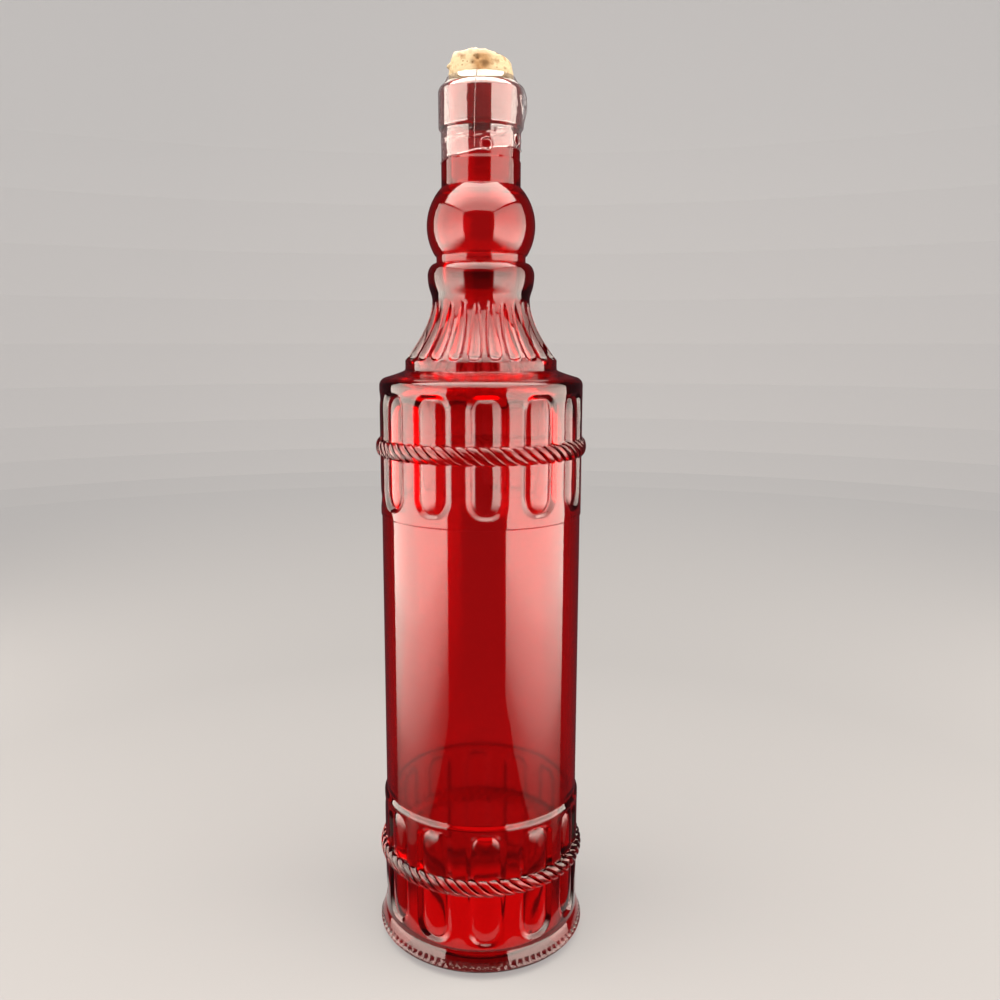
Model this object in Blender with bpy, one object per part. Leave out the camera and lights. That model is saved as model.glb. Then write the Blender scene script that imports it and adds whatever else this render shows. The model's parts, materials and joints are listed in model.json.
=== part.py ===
"""Empty ruby glass bottle with moulded flutes and ropes, a natural cork and a clear sealing band.

Metres, +Z up. The origin is the centre of the base, on the surface the bottle stands on, and the
bottle's front faces -Y. Angles run from the front towards +X.
"""
import math

import bmesh
import bpy
from mathutils import Vector

# Glass body, from the base up: radii and heights of its outer surface.
CONTACT_RADIUS = 0.0330
PUSH_UP_RADIUS = 0.0240
PUSH_UP_DEPTH = 0.0015
FOOT_RADIUS = 0.0379
FOOT_WIDEST_Z = 0.0058
FOOT_TOP_Z = 0.0122
LOWER_BAND_RADIUS = 0.0358
LOWER_BAND_TOP_Z = 0.0537
LOWER_STEP_TOP_Z = 0.0552
BODY_RADIUS = 0.0350
UPPER_STEP_Z = 0.1570
UPPER_BAND_Z = 0.1582
UPPER_BAND_RADIUS = 0.0353
SHOULDER_BAND_TOP_Z = 0.2022
SHOULDER_CORNER_Z = 0.2048
SHOULDER_CORNER_RADIUS = 0.0330
SHOULDER_TOP_Z = 0.2072
BELL_FOOT_RADIUS = 0.0262
BELL_FOOT_TOP_Z = 0.2112
BELL_BOTTOM_Z = 0.2118
WAIST_RADIUS = 0.0167
WAIST_Z = 0.2312
BELL_BEND_Z = 0.2230
COLLAR_RADIUS = 0.01825
COLLAR_Z = 0.2393
GROOVE_RADIUS = 0.0151
GROOVE_Z = 0.2433
BALL_RADIUS = 0.0184
BALL_Z = 0.2555
NECK_RADIUS = 0.01335
SEALED_NECK_RADIUS = 0.01305
SEALED_NECK_Z = 0.2765
LIP_RADIUS = 0.01395
LIP_Z = 0.2880
LIP_ROUNDING = 0.0018
GLASS_TOP_Z = 0.3006

# Inside of the glass.
WALL = 0.0030
INNER_BASE_Z = 0.0055
INNER_HEEL = 0.0040
INNER_SHOULDER_Z = 0.2020
MOUTH_RADIUS = 0.01065
BORE_RADIUS = 0.0100
BORE_END_Z = 0.2850

# Upright flutes, a ring of raised pads in each band. A pad lies in a valley with sloping walls.
FLUTES = 12
FLUTE_TURN = math.radians(2.8)
LOWER_FLUTE_Z = 0.0329
LOWER_FLUTE_HALF_HEIGHT = 0.0196
UPPER_FLUTE_Z = 0.1805
UPPER_FLUTE_HALF_HEIGHT = 0.0202
FLUTE_HALF_WIDTH = 0.0072
FLUTE_LOW_END = 0.0062
FLUTE_HIGH_END = 0.0048
VALLEY_SIDE = 0.0022
VALLEY_END = 0.0012
VALLEY_DEPTH = 0.0011
PAD_EDGE = 0.0018
PAD_EDGE_DEPTH = 0.0003

# Twisted ropes round the bands.
ROPE_STRANDS = 60
ROPE_HALF_HEIGHT = 0.0032
ROPE_LEAN = math.radians(3.9)
ROPE_FURROW = 0.35
ROPE_SCALLOP = 0.14
ROPE_SINK = 0.0006
ROPE_ROOT_DEPTH = 0.0018
ROPE_ROOT_HALF_HEIGHT = 0.0024
LOWER_ROPE_Z = 0.0330
LOWER_ROPE_RISE = 0.0017
UPPER_ROPE_Z = 0.1813
UPPER_ROPE_RISE = 0.0015

# Tapering flutes cut into the bell.
BELL_FLUTES = 24
BELL_FLUTE_DEPTH = 0.0008
BELL_LAND = math.radians(3.2)

# Cork and clear sealing band.
GAP = 0.0003
CORK_BOTTOM_Z = 0.2880
CORK_TOP_Z = 0.3104
CORK_CHAMFER = 0.0005
FILM = 0.0003
FILM_HOLE_RADIUS = 0.0117
FILM_EDGE_Z = 0.2790
FILM_EDGE_SLANT = 0.0020
FILM_EDGE_LOW_TURN = math.radians(-50.0)

# Columns of faces round each stretch.
BODY_COLUMNS = 4 * FLUTES
NECK_COLUMNS = 28
INSIDE_COLUMNS = 24
SECTOR = 2.0 * math.pi / FLUTES
BODY_START = FLUTE_TURN - SECTOR / 2.0
SMOOTH_ANGLE = math.radians(30.0)


def clear_scene():
    for item in list(bpy.data.objects):
        bpy.data.objects.remove(item, do_unlink=True)


def make_material(name, colour, roughness, transmission=0.0):
    material = bpy.data.materials.new(name)
    material.use_nodes = True
    shader = material.node_tree.nodes["Principled BSDF"]
    shader.inputs["Base Color"].default_value = (*colour, 1.0)
    shader.inputs["Roughness"].default_value = roughness
    shader.inputs["Metallic"].default_value = 0.0
    shader.inputs["Transmission Weight"].default_value = transmission
    return material


def polar(radius, angle, height):
    return Vector((radius * math.sin(angle), -radius * math.cos(angle), height))


def add_ring(mesh, radius, height, columns):
    """A ring of vertices that starts at the first flute's left border."""
    step = 2.0 * math.pi / columns
    return [mesh.verts.new(polar(radius, BODY_START + step * i, height)) for i in range(columns)]


def add_face(mesh, corners):
    """A face without the corners that repeat, or none where fewer than three are left."""
    distinct = list(dict.fromkeys(corners))
    if len(distinct) > 2:
        mesh.faces.new(distinct)


def join_rings(mesh, lower, upper):
    for i, corner in enumerate(lower):
        j = (i + 1) % len(lower)
        mesh.faces.new((corner, lower[j], upper[j], upper[i]))


def stitch_rings(mesh, lower, upper):
    """Triangles between two rings with different numbers of columns."""
    low, high = len(lower), len(upper)
    a = b = 0
    while a < low or b < high:
        if (a + 1) / low <= (b + 1) / high:
            mesh.faces.new((lower[a % low], lower[(a + 1) % low], upper[b % high]))
            a += 1
        else:
            mesh.faces.new((lower[a % low], upper[(b + 1) % high], upper[b % high]))
            b += 1


def add_rings(mesh, first, outline, columns):
    """Rings along an outline of radii and heights, joined to a first ring. Returns the last one."""
    last = first
    for radius, height in outline:
        ring = add_ring(mesh, radius, height, columns)
        join_rings(mesh, last, ring)
        last = ring
    return last


def bezier(start, start_pull, end_pull, end, steps):
    """Points along a curve of radii and heights, without its start."""
    points = []
    for i in range(1, steps + 1):
        t = i / steps
        weights = ((1 - t) ** 3, 3 * t * (1 - t) ** 2, 3 * t * t * (1 - t), t ** 3)
        corners = (start, start_pull, end_pull, end)
        points.append(tuple(sum(w * c[axis] for w, c in zip(weights, corners)) for axis in (0, 1)))
    return points


def arc(centre, radius, first, last, steps):
    """Points along a round stretch; angles in degrees, 0 outwards and 90 up."""
    points = []
    for i in range(steps + 1):
        angle = math.radians(first + (last - first) * i / steps)
        points.append((centre[0] + radius * math.cos(angle), centre[1] + radius * math.sin(angle)))
    return points


def mesh_data(name, mesh):
    bmesh.ops.recalc_face_normals(mesh, faces=mesh.faces)
    data = bpy.data.meshes.new(name)
    mesh.to_mesh(data)
    mesh.free()
    return data


def finish_object(name, mesh, material):
    data = mesh_data(name, mesh)
    data.materials.append(material)
    data.shade_smooth()
    data.set_sharp_from_angle(angle=SMOOTH_ANGLE)
    made = bpy.data.objects.new(name, data)
    bpy.context.scene.collection.objects.link(made)
    return made


def flute_outline(inset_side, inset_end, half_height):
    """Offsets (sideways, up) from the flute's middle: bottom centre, up the right, down the left."""
    width = FLUTE_HALF_WIDTH - inset_side
    height = half_height - inset_end
    low_end = FLUTE_LOW_END - inset_end
    high_end = FLUTE_HIGH_END - inset_end
    right = [(width * math.sin(a), low_end * (1.0 - math.cos(a)) - height)
             for a in (0.0, math.pi / 4, math.pi / 2)]
    side_low, side_high = right[-1][1], height - high_end
    right += [(width, side_low + (side_high - side_low) * part) for part in (0.25, 0.5, 0.75, 1.0)]
    right += [(width * math.sin(a), height - high_end * (1.0 - math.cos(a)))
              for a in (math.pi / 4, 0.0)]
    left = [(-x, z) for x, z in reversed(right[1:-1])]
    return right + left


def add_flute(mesh, border, radius, turn, height, half_height):
    """One flute inside its border of 16 vertices: outline, valley, pad edge and the pad's crest."""
    steps = ((0.0, 0.0, 0.0),
             (VALLEY_SIDE, VALLEY_END, VALLEY_DEPTH),
             (VALLEY_SIDE + PAD_EDGE, VALLEY_END + PAD_EDGE, PAD_EDGE_DEPTH))
    last = border
    for inset_side, inset_end, depth in steps:
        outline = flute_outline(inset_side, inset_end, half_height)
        ring = [mesh.verts.new(polar(radius - depth, turn + x / radius, height + z))
                for x, z in outline]
        join_rings(mesh, last, ring)
        last = ring
    spine = [mesh.verts.new(polar(radius, turn, height + outline[k][1])) for k in range(2, 7)]
    crest = [spine[0]] * 2 + spine + [spine[-1]] * 2
    for k in range(8):
        add_face(mesh, (last[k], last[k + 1], crest[k + 1], crest[k]))
        add_face(mesh, (last[-k - 1], last[-k], crest[k], crest[k + 1]))


def add_fluted_band(mesh, lower, top_z, radius, height, half_height):
    """A band of flutes above a ring of BODY_COLUMNS vertices. Returns the band's top ring."""
    upper = add_ring(mesh, radius, top_z, BODY_COLUMNS)
    low_z = lower[0].co.z
    posts = []
    for k in range(FLUTES):
        turn = BODY_START + SECTOR * k
        posts.append([mesh.verts.new(polar(radius, turn, low_z + (top_z - low_z) * part))
                      for part in (0.25, 0.5, 0.75)])
    for k in range(FLUTES):
        after = (k + 1) % FLUTES
        columns = [(4 * k + i) % BODY_COLUMNS for i in range(5)]
        border = [lower[c] for c in columns[2:]] + posts[after]
        border += [upper[c] for c in reversed(columns)] + list(reversed(posts[k]))
        border += [lower[c] for c in columns[:2]]
        add_flute(mesh, border, radius, FLUTE_TURN + SECTOR * k, height, half_height)
    return upper


def bell_point(t):
    """Radius and height on the bell, from its bottom (t = 0) to the waist (t = 1)."""
    low, bend, high = (1 - t) ** 2, 2 * t * (1 - t), t * t
    return (BELL_FOOT_RADIUS * low + WAIST_RADIUS * (bend + high),
            BELL_BOTTOM_Z * low + BELL_BEND_Z * bend + WAIST_Z * high)


def add_bell_ring(mesh, t, depth):
    """A ring of the bell, cut in by a depth between the lands that part its flutes."""
    radius, height = bell_point(t)
    period = 2.0 * math.pi / BELL_FLUTES
    cut = period - BELL_LAND
    ring = []
    for k in range(BELL_FLUTES):
        start = FLUTE_TURN + period * (k - 1) + BELL_LAND / 2.0
        for part, share in ((0.0, 0.0), (0.28, 1.0), (0.72, 1.0), (1.0, 0.0)):
            ring.append(mesh.verts.new(polar(radius - depth * share, start + cut * part, height)))
    return ring


def add_bell(mesh, shoulder_ring):
    """The bell's foot, its flutes and the waist. Returns the waist's ring."""
    foot = add_rings(mesh, shoulder_ring, [(BELL_FOOT_RADIUS, BELL_FOOT_TOP_Z)], BODY_COLUMNS)
    last = add_bell_ring(mesh, 0.0, 0.0)
    stitch_rings(mesh, foot, last)
    for t, share in ((0.05, 0.8), (0.25, 1.0), (0.5, 0.7), (0.75, 0.35), (0.97, 0.0)):
        ring = add_bell_ring(mesh, t, BELL_FLUTE_DEPTH * share)
        join_rings(mesh, last, ring)
        last = ring
    waist = add_ring(mesh, WAIST_RADIUS, WAIST_Z, NECK_COLUMNS)
    stitch_rings(mesh, last, waist)
    return waist


def collar_outline():
    flare = bezier((WAIST_RADIUS, WAIST_Z), (WAIST_RADIUS, WAIST_Z + 0.004),
                   (COLLAR_RADIUS, COLLAR_Z - 0.004), (COLLAR_RADIUS, COLLAR_Z), 4)
    top = bezier((COLLAR_RADIUS, COLLAR_Z), (COLLAR_RADIUS, GROOVE_Z - 0.0018),
                 (GROOVE_RADIUS + 0.0019, GROOVE_Z), (GROOVE_RADIUS, GROOVE_Z), 3)
    return flare + top


def ball_outline():
    """The ball from the groove under it to the neck on top of it."""
    first = -math.degrees(math.acos(GROOVE_RADIUS / BALL_RADIUS))
    last = math.degrees(math.acos(NECK_RADIUS / BALL_RADIUS))
    return arc((0.0, BALL_Z), BALL_RADIUS, first, last, 7)


def sealed_outline(offset, steps):
    """The neck and lip under the film, or a surface set off from them, up to the lip's flat top."""
    corner = (LIP_RADIUS - LIP_ROUNDING, GLASS_TOP_Z - LIP_ROUNDING)
    points = [(SEALED_NECK_RADIUS + offset, LIP_Z - 0.0004), (LIP_RADIUS + offset, LIP_Z + 0.0008)]
    return points + arc(corner, LIP_ROUNDING + offset, 0.0, 90.0, steps)


def inner_outline():
    """The inside of the glass from the mouth down to the heel."""
    inner_ball = BALL_RADIUS - WALL
    ball = arc((0.0, BALL_Z), inner_ball, 43.0, -45.0, 4)
    neck = [(BORE_RADIUS, BORE_END_Z), (BORE_RADIUS, ball[0][1] + 0.0016)]
    waist = [(COLLAR_RADIUS - WALL - 0.0012, COLLAR_Z), (WAIST_RADIUS - WALL, WAIST_Z)]
    bell = [(bell_point(t)[0] - WALL, bell_point(t)[1] - 0.001) for t in (0.6, 0.3, 0.1)]
    shoulder = [(BELL_FOOT_RADIUS - WALL, SHOULDER_TOP_Z - 0.001),
                (SHOULDER_CORNER_RADIUS - WALL, INNER_SHOULDER_Z)]
    body = [(BODY_RADIUS - WALL, INNER_SHOULDER_Z - 0.0035)]
    centre = (BODY_RADIUS - WALL - INNER_HEEL, INNER_BASE_Z + INNER_HEEL)
    heel = arc(centre, INNER_HEEL, 0.0, -90.0, 3)
    return neck + ball + waist + bell + shoulder + body + heel


def add_base(mesh):
    """The underside: a shallow push-up inside the flat ring that the bottle stands on."""
    centre = mesh.verts.new((0.0, 0.0, PUSH_UP_DEPTH))
    dome = add_ring(mesh, PUSH_UP_RADIUS - 0.0025, PUSH_UP_DEPTH, BODY_COLUMNS)
    for i, corner in enumerate(dome):
        mesh.faces.new((centre, corner, dome[(i + 1) % BODY_COLUMNS]))
    return add_rings(mesh, dome, [(PUSH_UP_RADIUS, 0.0), (CONTACT_RADIUS, 0.0)], BODY_COLUMNS)


def foot_outline():
    """Rounded heel, the foot's widest line and the sweep up to the lower band."""
    heel = bezier((CONTACT_RADIUS, 0.0), (CONTACT_RADIUS + 0.0012, 0.0),
                  (FOOT_RADIUS, FOOT_WIDEST_Z - 0.0020), (FOOT_RADIUS, FOOT_WIDEST_Z), 3)
    sweep = bezier((FOOT_RADIUS, FOOT_WIDEST_Z), (FOOT_RADIUS, FOOT_WIDEST_Z + 0.0028),
                   (LOWER_BAND_RADIUS, FOOT_TOP_Z - 0.0024), (LOWER_BAND_RADIUS, FOOT_TOP_Z), 3)
    return heel + sweep


def shoulder_outline():
    """The rounded corner over the upper band and the slope up to the bell's foot."""
    corner = bezier((UPPER_BAND_RADIUS, SHOULDER_BAND_TOP_Z),
                    (UPPER_BAND_RADIUS, SHOULDER_CORNER_Z - 0.0012),
                    (SHOULDER_CORNER_RADIUS + 0.0014, SHOULDER_CORNER_Z),
                    (SHOULDER_CORNER_RADIUS, SHOULDER_CORNER_Z + 0.0003), 3)
    return corner + [(BELL_FOOT_RADIUS, SHOULDER_TOP_Z)]


def close_inside(mesh, lip_ring):
    """The lip's flat top, the bore, the hollow and its floor."""
    mouth = add_ring(mesh, MOUTH_RADIUS, GLASS_TOP_Z, INSIDE_COLUMNS)
    stitch_rings(mesh, lip_ring, mouth)
    last = add_rings(mesh, mouth, inner_outline(), INSIDE_COLUMNS)
    centre = mesh.verts.new((0.0, 0.0, INNER_BASE_Z))
    for i, corner in enumerate(last):
        mesh.faces.new((corner, last[(i + 1) % INSIDE_COLUMNS], centre))


def make_rope(name, band_radius, rise, height, collection):
    """A closed ring of twisted strands, sunk into the band it lies on."""
    mesh = bmesh.new()
    columns = 2 * ROPE_STRANDS
    rings = []
    for degrees in (-90, -35, 35, 90):
        angle = math.radians(degrees)
        ring = []
        for i in range(columns):
            furrow = i % 2
            out = (rise + ROPE_SINK) * (1.0 - ROPE_FURROW * furrow) * math.cos(angle)
            turn = 2.0 * math.pi * i / columns - ROPE_LEAN * math.sin(angle)
            up = ROPE_HALF_HEIGHT * (1.0 - ROPE_SCALLOP * furrow) * math.sin(angle)
            ring.append(mesh.verts.new(polar(band_radius - ROPE_SINK + out, turn, height + up)))
        rings.append(ring)
    for side in (1, -1):
        turn = -ROPE_LEAN * side
        step = 2.0 * math.pi / columns
        up = height + ROPE_ROOT_HALF_HEIGHT * side
        root = band_radius - ROPE_ROOT_DEPTH
        rings.append([mesh.verts.new(polar(root, step * i + turn, up)) for i in range(columns)])
    for lower, upper in zip(rings, rings[1:] + rings[:1]):
        join_rings(mesh, lower, upper)
    collection.objects.link(bpy.data.objects.new(name, mesh_data(name, mesh)))


def make_glass(material):
    mesh = bmesh.new()
    foot = add_rings(mesh, add_base(mesh), foot_outline(), BODY_COLUMNS)
    lower_top = add_fluted_band(mesh, foot, LOWER_BAND_TOP_Z, LOWER_BAND_RADIUS,
                                LOWER_FLUTE_Z, LOWER_FLUTE_HALF_HEIGHT)
    body = [(BODY_RADIUS, LOWER_STEP_TOP_Z), (BODY_RADIUS, UPPER_STEP_Z),
            (UPPER_BAND_RADIUS, UPPER_BAND_Z)]
    upper_low = add_rings(mesh, lower_top, body, BODY_COLUMNS)
    upper_top = add_fluted_band(mesh, upper_low, SHOULDER_BAND_TOP_Z, UPPER_BAND_RADIUS,
                                UPPER_FLUTE_Z, UPPER_FLUTE_HALF_HEIGHT)
    shoulder = add_rings(mesh, upper_top, shoulder_outline(), BODY_COLUMNS)
    waist = add_bell(mesh, shoulder)
    neck = [(NECK_RADIUS, SEALED_NECK_Z - 0.0008), (SEALED_NECK_RADIUS, SEALED_NECK_Z)]
    outline = collar_outline() + ball_outline() + neck + sealed_outline(0.0, 3)
    close_inside(mesh, add_rings(mesh, waist, outline, NECK_COLUMNS))
    bottle = finish_object("bottle", mesh, material)

    ropes = bpy.data.collections.new("ropes")
    bpy.context.scene.collection.children.link(ropes)
    make_rope("lower_rope", LOWER_BAND_RADIUS, LOWER_ROPE_RISE, LOWER_ROPE_Z, ropes)
    make_rope("upper_rope", UPPER_BAND_RADIUS, UPPER_ROPE_RISE, UPPER_ROPE_Z, ropes)
    join = bottle.modifiers.new("join_ropes", "BOOLEAN")
    join.operation = "UNION"
    join.operand_type = "COLLECTION"
    join.collection = ropes
    bpy.context.view_layer.objects.active = bottle
    bpy.ops.object.modifier_apply(modifier=join.name)
    for rope in list(ropes.objects):
        bpy.data.objects.remove(rope, do_unlink=True)
    bpy.data.collections.remove(ropes)
    bottle.data.set_sharp_from_angle(angle=SMOOTH_ANGLE)
    return bottle


def bore_radius_at(height):
    """The bore's radius where the cork sits; it narrows evenly from the mouth down."""
    share = (height - BORE_END_Z) / (GLASS_TOP_Z - BORE_END_Z)
    return BORE_RADIUS + (MOUTH_RADIUS - BORE_RADIUS) * share


def make_cork(material):
    """A tapering stopper that fits the bore and stands up above the lip."""
    mesh = bmesh.new()
    low = bore_radius_at(CORK_BOTTOM_Z) - GAP
    high = bore_radius_at(GLASS_TOP_Z) - GAP
    outline = [(low, CORK_BOTTOM_Z + CORK_CHAMFER), (high, GLASS_TOP_Z),
               (high, CORK_TOP_Z - CORK_CHAMFER), (high - CORK_CHAMFER, CORK_TOP_Z)]
    first = add_ring(mesh, low - CORK_CHAMFER, CORK_BOTTOM_Z, INSIDE_COLUMNS)
    last = add_rings(mesh, first, outline, INSIDE_COLUMNS)
    mesh.faces.new(list(reversed(first)))
    mesh.faces.new(last)
    return finish_object("cork", mesh, material)


def film_edge_z(angle):
    """The film's cut edge runs a little askew round the neck."""
    return FILM_EDGE_Z - FILM_EDGE_SLANT * math.cos(angle - FILM_EDGE_LOW_TURN)


def add_film_edge(mesh, radius):
    ring = add_ring(mesh, radius, 0.0, NECK_COLUMNS)
    for i, corner in enumerate(ring):
        corner.co.z = film_edge_z(BODY_START + 2.0 * math.pi * i / NECK_COLUMNS)
    return ring


def make_seal_band(material):
    """The shrunk film: up the neck, over the lip and in over its flat top."""
    mesh = bmesh.new()
    outer_edge = add_film_edge(mesh, SEALED_NECK_RADIUS + GAP + FILM)
    outer = sealed_outline(GAP + FILM, 3) + [(FILM_HOLE_RADIUS, GLASS_TOP_Z + GAP + FILM)]
    outer_hole = add_rings(mesh, outer_edge, outer, NECK_COLUMNS)
    inner_edge = add_film_edge(mesh, SEALED_NECK_RADIUS + GAP)
    inner = sealed_outline(GAP, 3) + [(FILM_HOLE_RADIUS, GLASS_TOP_Z + GAP)]
    inner_hole = add_rings(mesh, inner_edge, inner, NECK_COLUMNS)
    join_rings(mesh, outer_hole, inner_hole)
    join_rings(mesh, inner_edge, outer_edge)
    return finish_object("seal_band", mesh, material)


def build():
    clear_scene()
    make_glass(make_material("ruby_glass", (0.42, 0.0, 0.01), 0.03, transmission=0.9))
    make_cork(make_material("natural_cork", (0.72, 0.55, 0.36), 0.85))
    make_seal_band(make_material("clear_film", (0.95, 0.93, 0.92), 0.08, transmission=0.95))


build()
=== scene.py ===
# %% [markdown]
# # A ruby glass bottle with a cork and a shrunk film
#
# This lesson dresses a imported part: an empty decorative bottle of pressed red glass, shut with a
# natural cork, with a clear film shrunk over its lip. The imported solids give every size. Each one
# is replaced here by a finer piece of the same size, with a finish that follows the real material.
#
# All lengths are in metres. +Z is up, and the bottle's front faces -Y.

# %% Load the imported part
import json
import math

import bmesh
import bpy
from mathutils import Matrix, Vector, noise

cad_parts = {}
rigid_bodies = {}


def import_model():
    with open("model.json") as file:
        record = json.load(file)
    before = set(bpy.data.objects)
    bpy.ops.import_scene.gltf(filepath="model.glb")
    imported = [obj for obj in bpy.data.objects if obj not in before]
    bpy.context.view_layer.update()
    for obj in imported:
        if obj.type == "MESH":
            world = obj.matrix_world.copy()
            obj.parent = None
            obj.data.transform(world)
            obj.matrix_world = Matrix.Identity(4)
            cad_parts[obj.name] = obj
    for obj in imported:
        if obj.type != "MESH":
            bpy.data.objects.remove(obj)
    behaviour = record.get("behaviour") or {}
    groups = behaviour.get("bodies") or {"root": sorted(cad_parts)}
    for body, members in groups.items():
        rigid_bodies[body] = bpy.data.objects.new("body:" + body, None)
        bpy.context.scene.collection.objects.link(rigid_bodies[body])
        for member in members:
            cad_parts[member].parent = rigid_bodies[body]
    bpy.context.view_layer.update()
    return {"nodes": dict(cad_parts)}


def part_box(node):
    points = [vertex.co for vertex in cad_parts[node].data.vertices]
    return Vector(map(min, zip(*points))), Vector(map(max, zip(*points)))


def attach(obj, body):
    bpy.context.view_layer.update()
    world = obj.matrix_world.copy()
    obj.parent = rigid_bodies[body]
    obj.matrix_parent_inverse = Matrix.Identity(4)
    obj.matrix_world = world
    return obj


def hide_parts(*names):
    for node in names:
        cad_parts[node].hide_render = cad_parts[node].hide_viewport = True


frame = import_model()
for node in sorted(frame["nodes"]):
    low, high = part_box(node)
    print(node, [round(1000 * (b - a), 1) for a, b in zip(low, high)], "mm")

# %% [markdown]
# ## The bottle's measures
#
# A pressed bottle is a turned form with ornaments on it. So most of it is given by radii and
# heights along one outline. The ornaments repeat 12 times round the bottle: 12 flutes in each
# band, 5 rope strands and 2 scoops of the bell to each flute.

# %% Measures of the bottle
# The foot: the ring it stands on, the hollow inside that ring, and the heel's slope.
CONTACT_RADIUS, PUSH_UP_RADIUS, PUSH_UP_DEPTH = 0.0330, 0.0240, 0.0015
FOOT_RADIUS, FOOT_LOW_Z, FOOT_TOP_Z = 0.0379, 0.0036, 0.0098
FOOT_HIGH_RADIUS, FOOT_HIGH_Z, KNURL_TOP_Z, KNURL_DEPTH = 0.0365, 0.0076, 0.0063, 0.00070
# The two bands and the plain body between them.
LOWER_BAND_RADIUS, LOWER_BAND_TOP_Z, LOWER_STEP_TOP_Z = 0.0358, 0.0537, 0.0552
BODY_RADIUS, UPPER_STEP_Z, UPPER_BAND_Z = 0.0350, 0.1570, 0.1582
UPPER_BAND_RADIUS, SHOULDER_BAND_TOP_Z = 0.0353, 0.2022
# The shoulder and the bell.
SHOULDER_CORNER_Z, SHOULDER_CORNER_RADIUS, SHOULDER_TOP_Z = 0.2048, 0.0330, 0.2072
BELL_FOOT_RADIUS, BELL_FOOT_TOP_Z, BELL_BOTTOM_Z = 0.0262, 0.2102, 0.2108
BELL_BEND_Z, WAIST_RADIUS, WAIST_Z = 0.2230, 0.0167, 0.2312
# Collar, groove, ball, neck and lip.
COLLAR_RADIUS, COLLAR_Z, GROOVE_RADIUS, GROOVE_Z = 0.01825, 0.2393, 0.0152, 0.2434
BALL_FOOT_RADIUS, BALL_FOOT_Z = 0.0157, 0.2457
BALL_RADIUS, BALL_Z, NECK_RADIUS = 0.0184, 0.2555, 0.01335
SEALED_NECK_RADIUS, SEALED_NECK_Z = 0.01305, 0.2765
LIP_RADIUS, LIP_Z, LIP_ROUNDING, GLASS_TOP_Z = 0.01395, 0.2864, 0.0026, 0.3006
# The inside.
WALL, INNER_BASE_Z, INNER_HEEL = 0.0030, 0.0055, 0.0040
MOUTH_RADIUS, MOUTH_ROUNDING, BORE_RADIUS, BORE_END_Z = 0.01065, 0.0006, 0.0100, 0.2850

SECTORS = 12
COLUMNS_A_SECTOR = 12
COLUMNS = SECTORS * COLUMNS_A_SECTOR
ORNAMENT_TURN = math.radians(2.8)
print("height", GLASS_TOP_Z, "m,", COLUMNS, "columns round the glass")

# %% [markdown]
# ## Working by hand, in code
#
# Every piece below starts from a primitive and is shaped in edit mode, as in Blender's window.
# A few small helpers keep that readable. An operator acts on all that is selected, so one helper
# makes a piece the only one chosen, and another picks points by their place. A piece's own place
# is applied to its mesh, so that its object stays at the origin.

# %% Helpers for choosing and editing
SAME_PLACE, SAME_POINT = 0.00001, 0.000005


def leave_edit():
    bpy.ops.object.mode_set(mode="OBJECT")


def deselect_everything():
    if bpy.context.object and bpy.context.object.mode != "OBJECT":
        leave_edit()
    bpy.ops.object.select_all(action="DESELECT")


def choose(piece):
    """Makes a piece the only one that the next operator acts on."""
    deselect_everything()
    piece.select_set(True)
    bpy.context.view_layer.objects.active = piece


def add_piece(name, kind, scale=(1.0, 1.0, 1.0), **values):
    """Adds a primitive at its size and place, names it and puts its place into its mesh."""
    deselect_everything()
    getattr(bpy.ops.mesh, "primitive_" + kind + "_add")(**values)
    piece = bpy.context.object
    piece.name = piece.data.name = name
    piece.scale = scale
    bpy.ops.object.transform_apply(location=True, rotation=True, scale=True)
    return piece


def edit(piece):
    choose(piece)
    bpy.ops.object.mode_set(mode="EDIT")


def take_all(taken=True):
    """In edit mode, selects every point of the piece, or none."""
    bpy.ops.mesh.select_all(action="SELECT" if taken else "DESELECT")


def pick(piece, wanted):
    """In edit mode, selects the points whose place passes the test, and what lies between them."""
    take_all(False)
    mesh = bmesh.from_edit_mesh(piece.data)
    for vertex in mesh.verts:
        vertex.select_set(bool(wanted(vertex.co)))
    mesh.select_flush(True)
    bmesh.update_edit_mesh(piece.data)


def reshape(piece, move):
    """In edit mode, gives every selected point a new place."""
    mesh = bmesh.from_edit_mesh(piece.data)
    for vertex in mesh.verts:
        if vertex.select:
            vertex.co = Vector(move(vertex.co))
    bmesh.update_edit_mesh(piece.data)


# %% Helpers for whole pieces
def reshape_all(piece, move):
    """Gives every point of a piece a new place."""
    edit(piece)
    take_all()
    reshape(piece, move)
    leave_edit()


def face_outwards(piece, inside=False):
    """Makes all faces of a piece point out of it, or into it."""
    edit(piece)
    take_all()
    bpy.ops.mesh.normals_make_consistent(inside=inside)
    leave_edit()


def halve_level_edges(piece, wanted):
    """Adds a point in the middle of the level edges that pass the test, for finer columns there."""
    edit(piece)
    take_all(False)
    mesh = bmesh.from_edit_mesh(piece.data)
    for edge in mesh.edges:
        one, other = edge.verts
        if wanted(one.co) and wanted(other.co) and abs(one.co.z - other.co.z) < SAME_PLACE:
            edge.select_set(True)
    bmesh.update_edit_mesh(piece.data)
    bpy.ops.mesh.subdivide(number_cuts=1)
    leave_edit()


def smooth(piece, degrees):
    """Shades a piece smooth, but for edges that bend by more than the angle."""
    choose(piece)
    bpy.ops.object.shade_smooth_by_angle(angle=math.radians(degrees))


def apply_modifiers(piece):
    choose(piece)
    for modifier in list(piece.modifiers):
        bpy.ops.object.modifier_apply(modifier=modifier.name)


def join(name, parts):
    deselect_everything()
    for part in parts:
        part.select_set(True)
    bpy.context.view_layer.objects.active = parts[0]
    bpy.ops.object.join()
    parts[0].name = parts[0].data.name = name
    return parts[0]


def triangles(piece):
    return sum(len(face.vertices) - 2 for face in piece.data.polygons)


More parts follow.
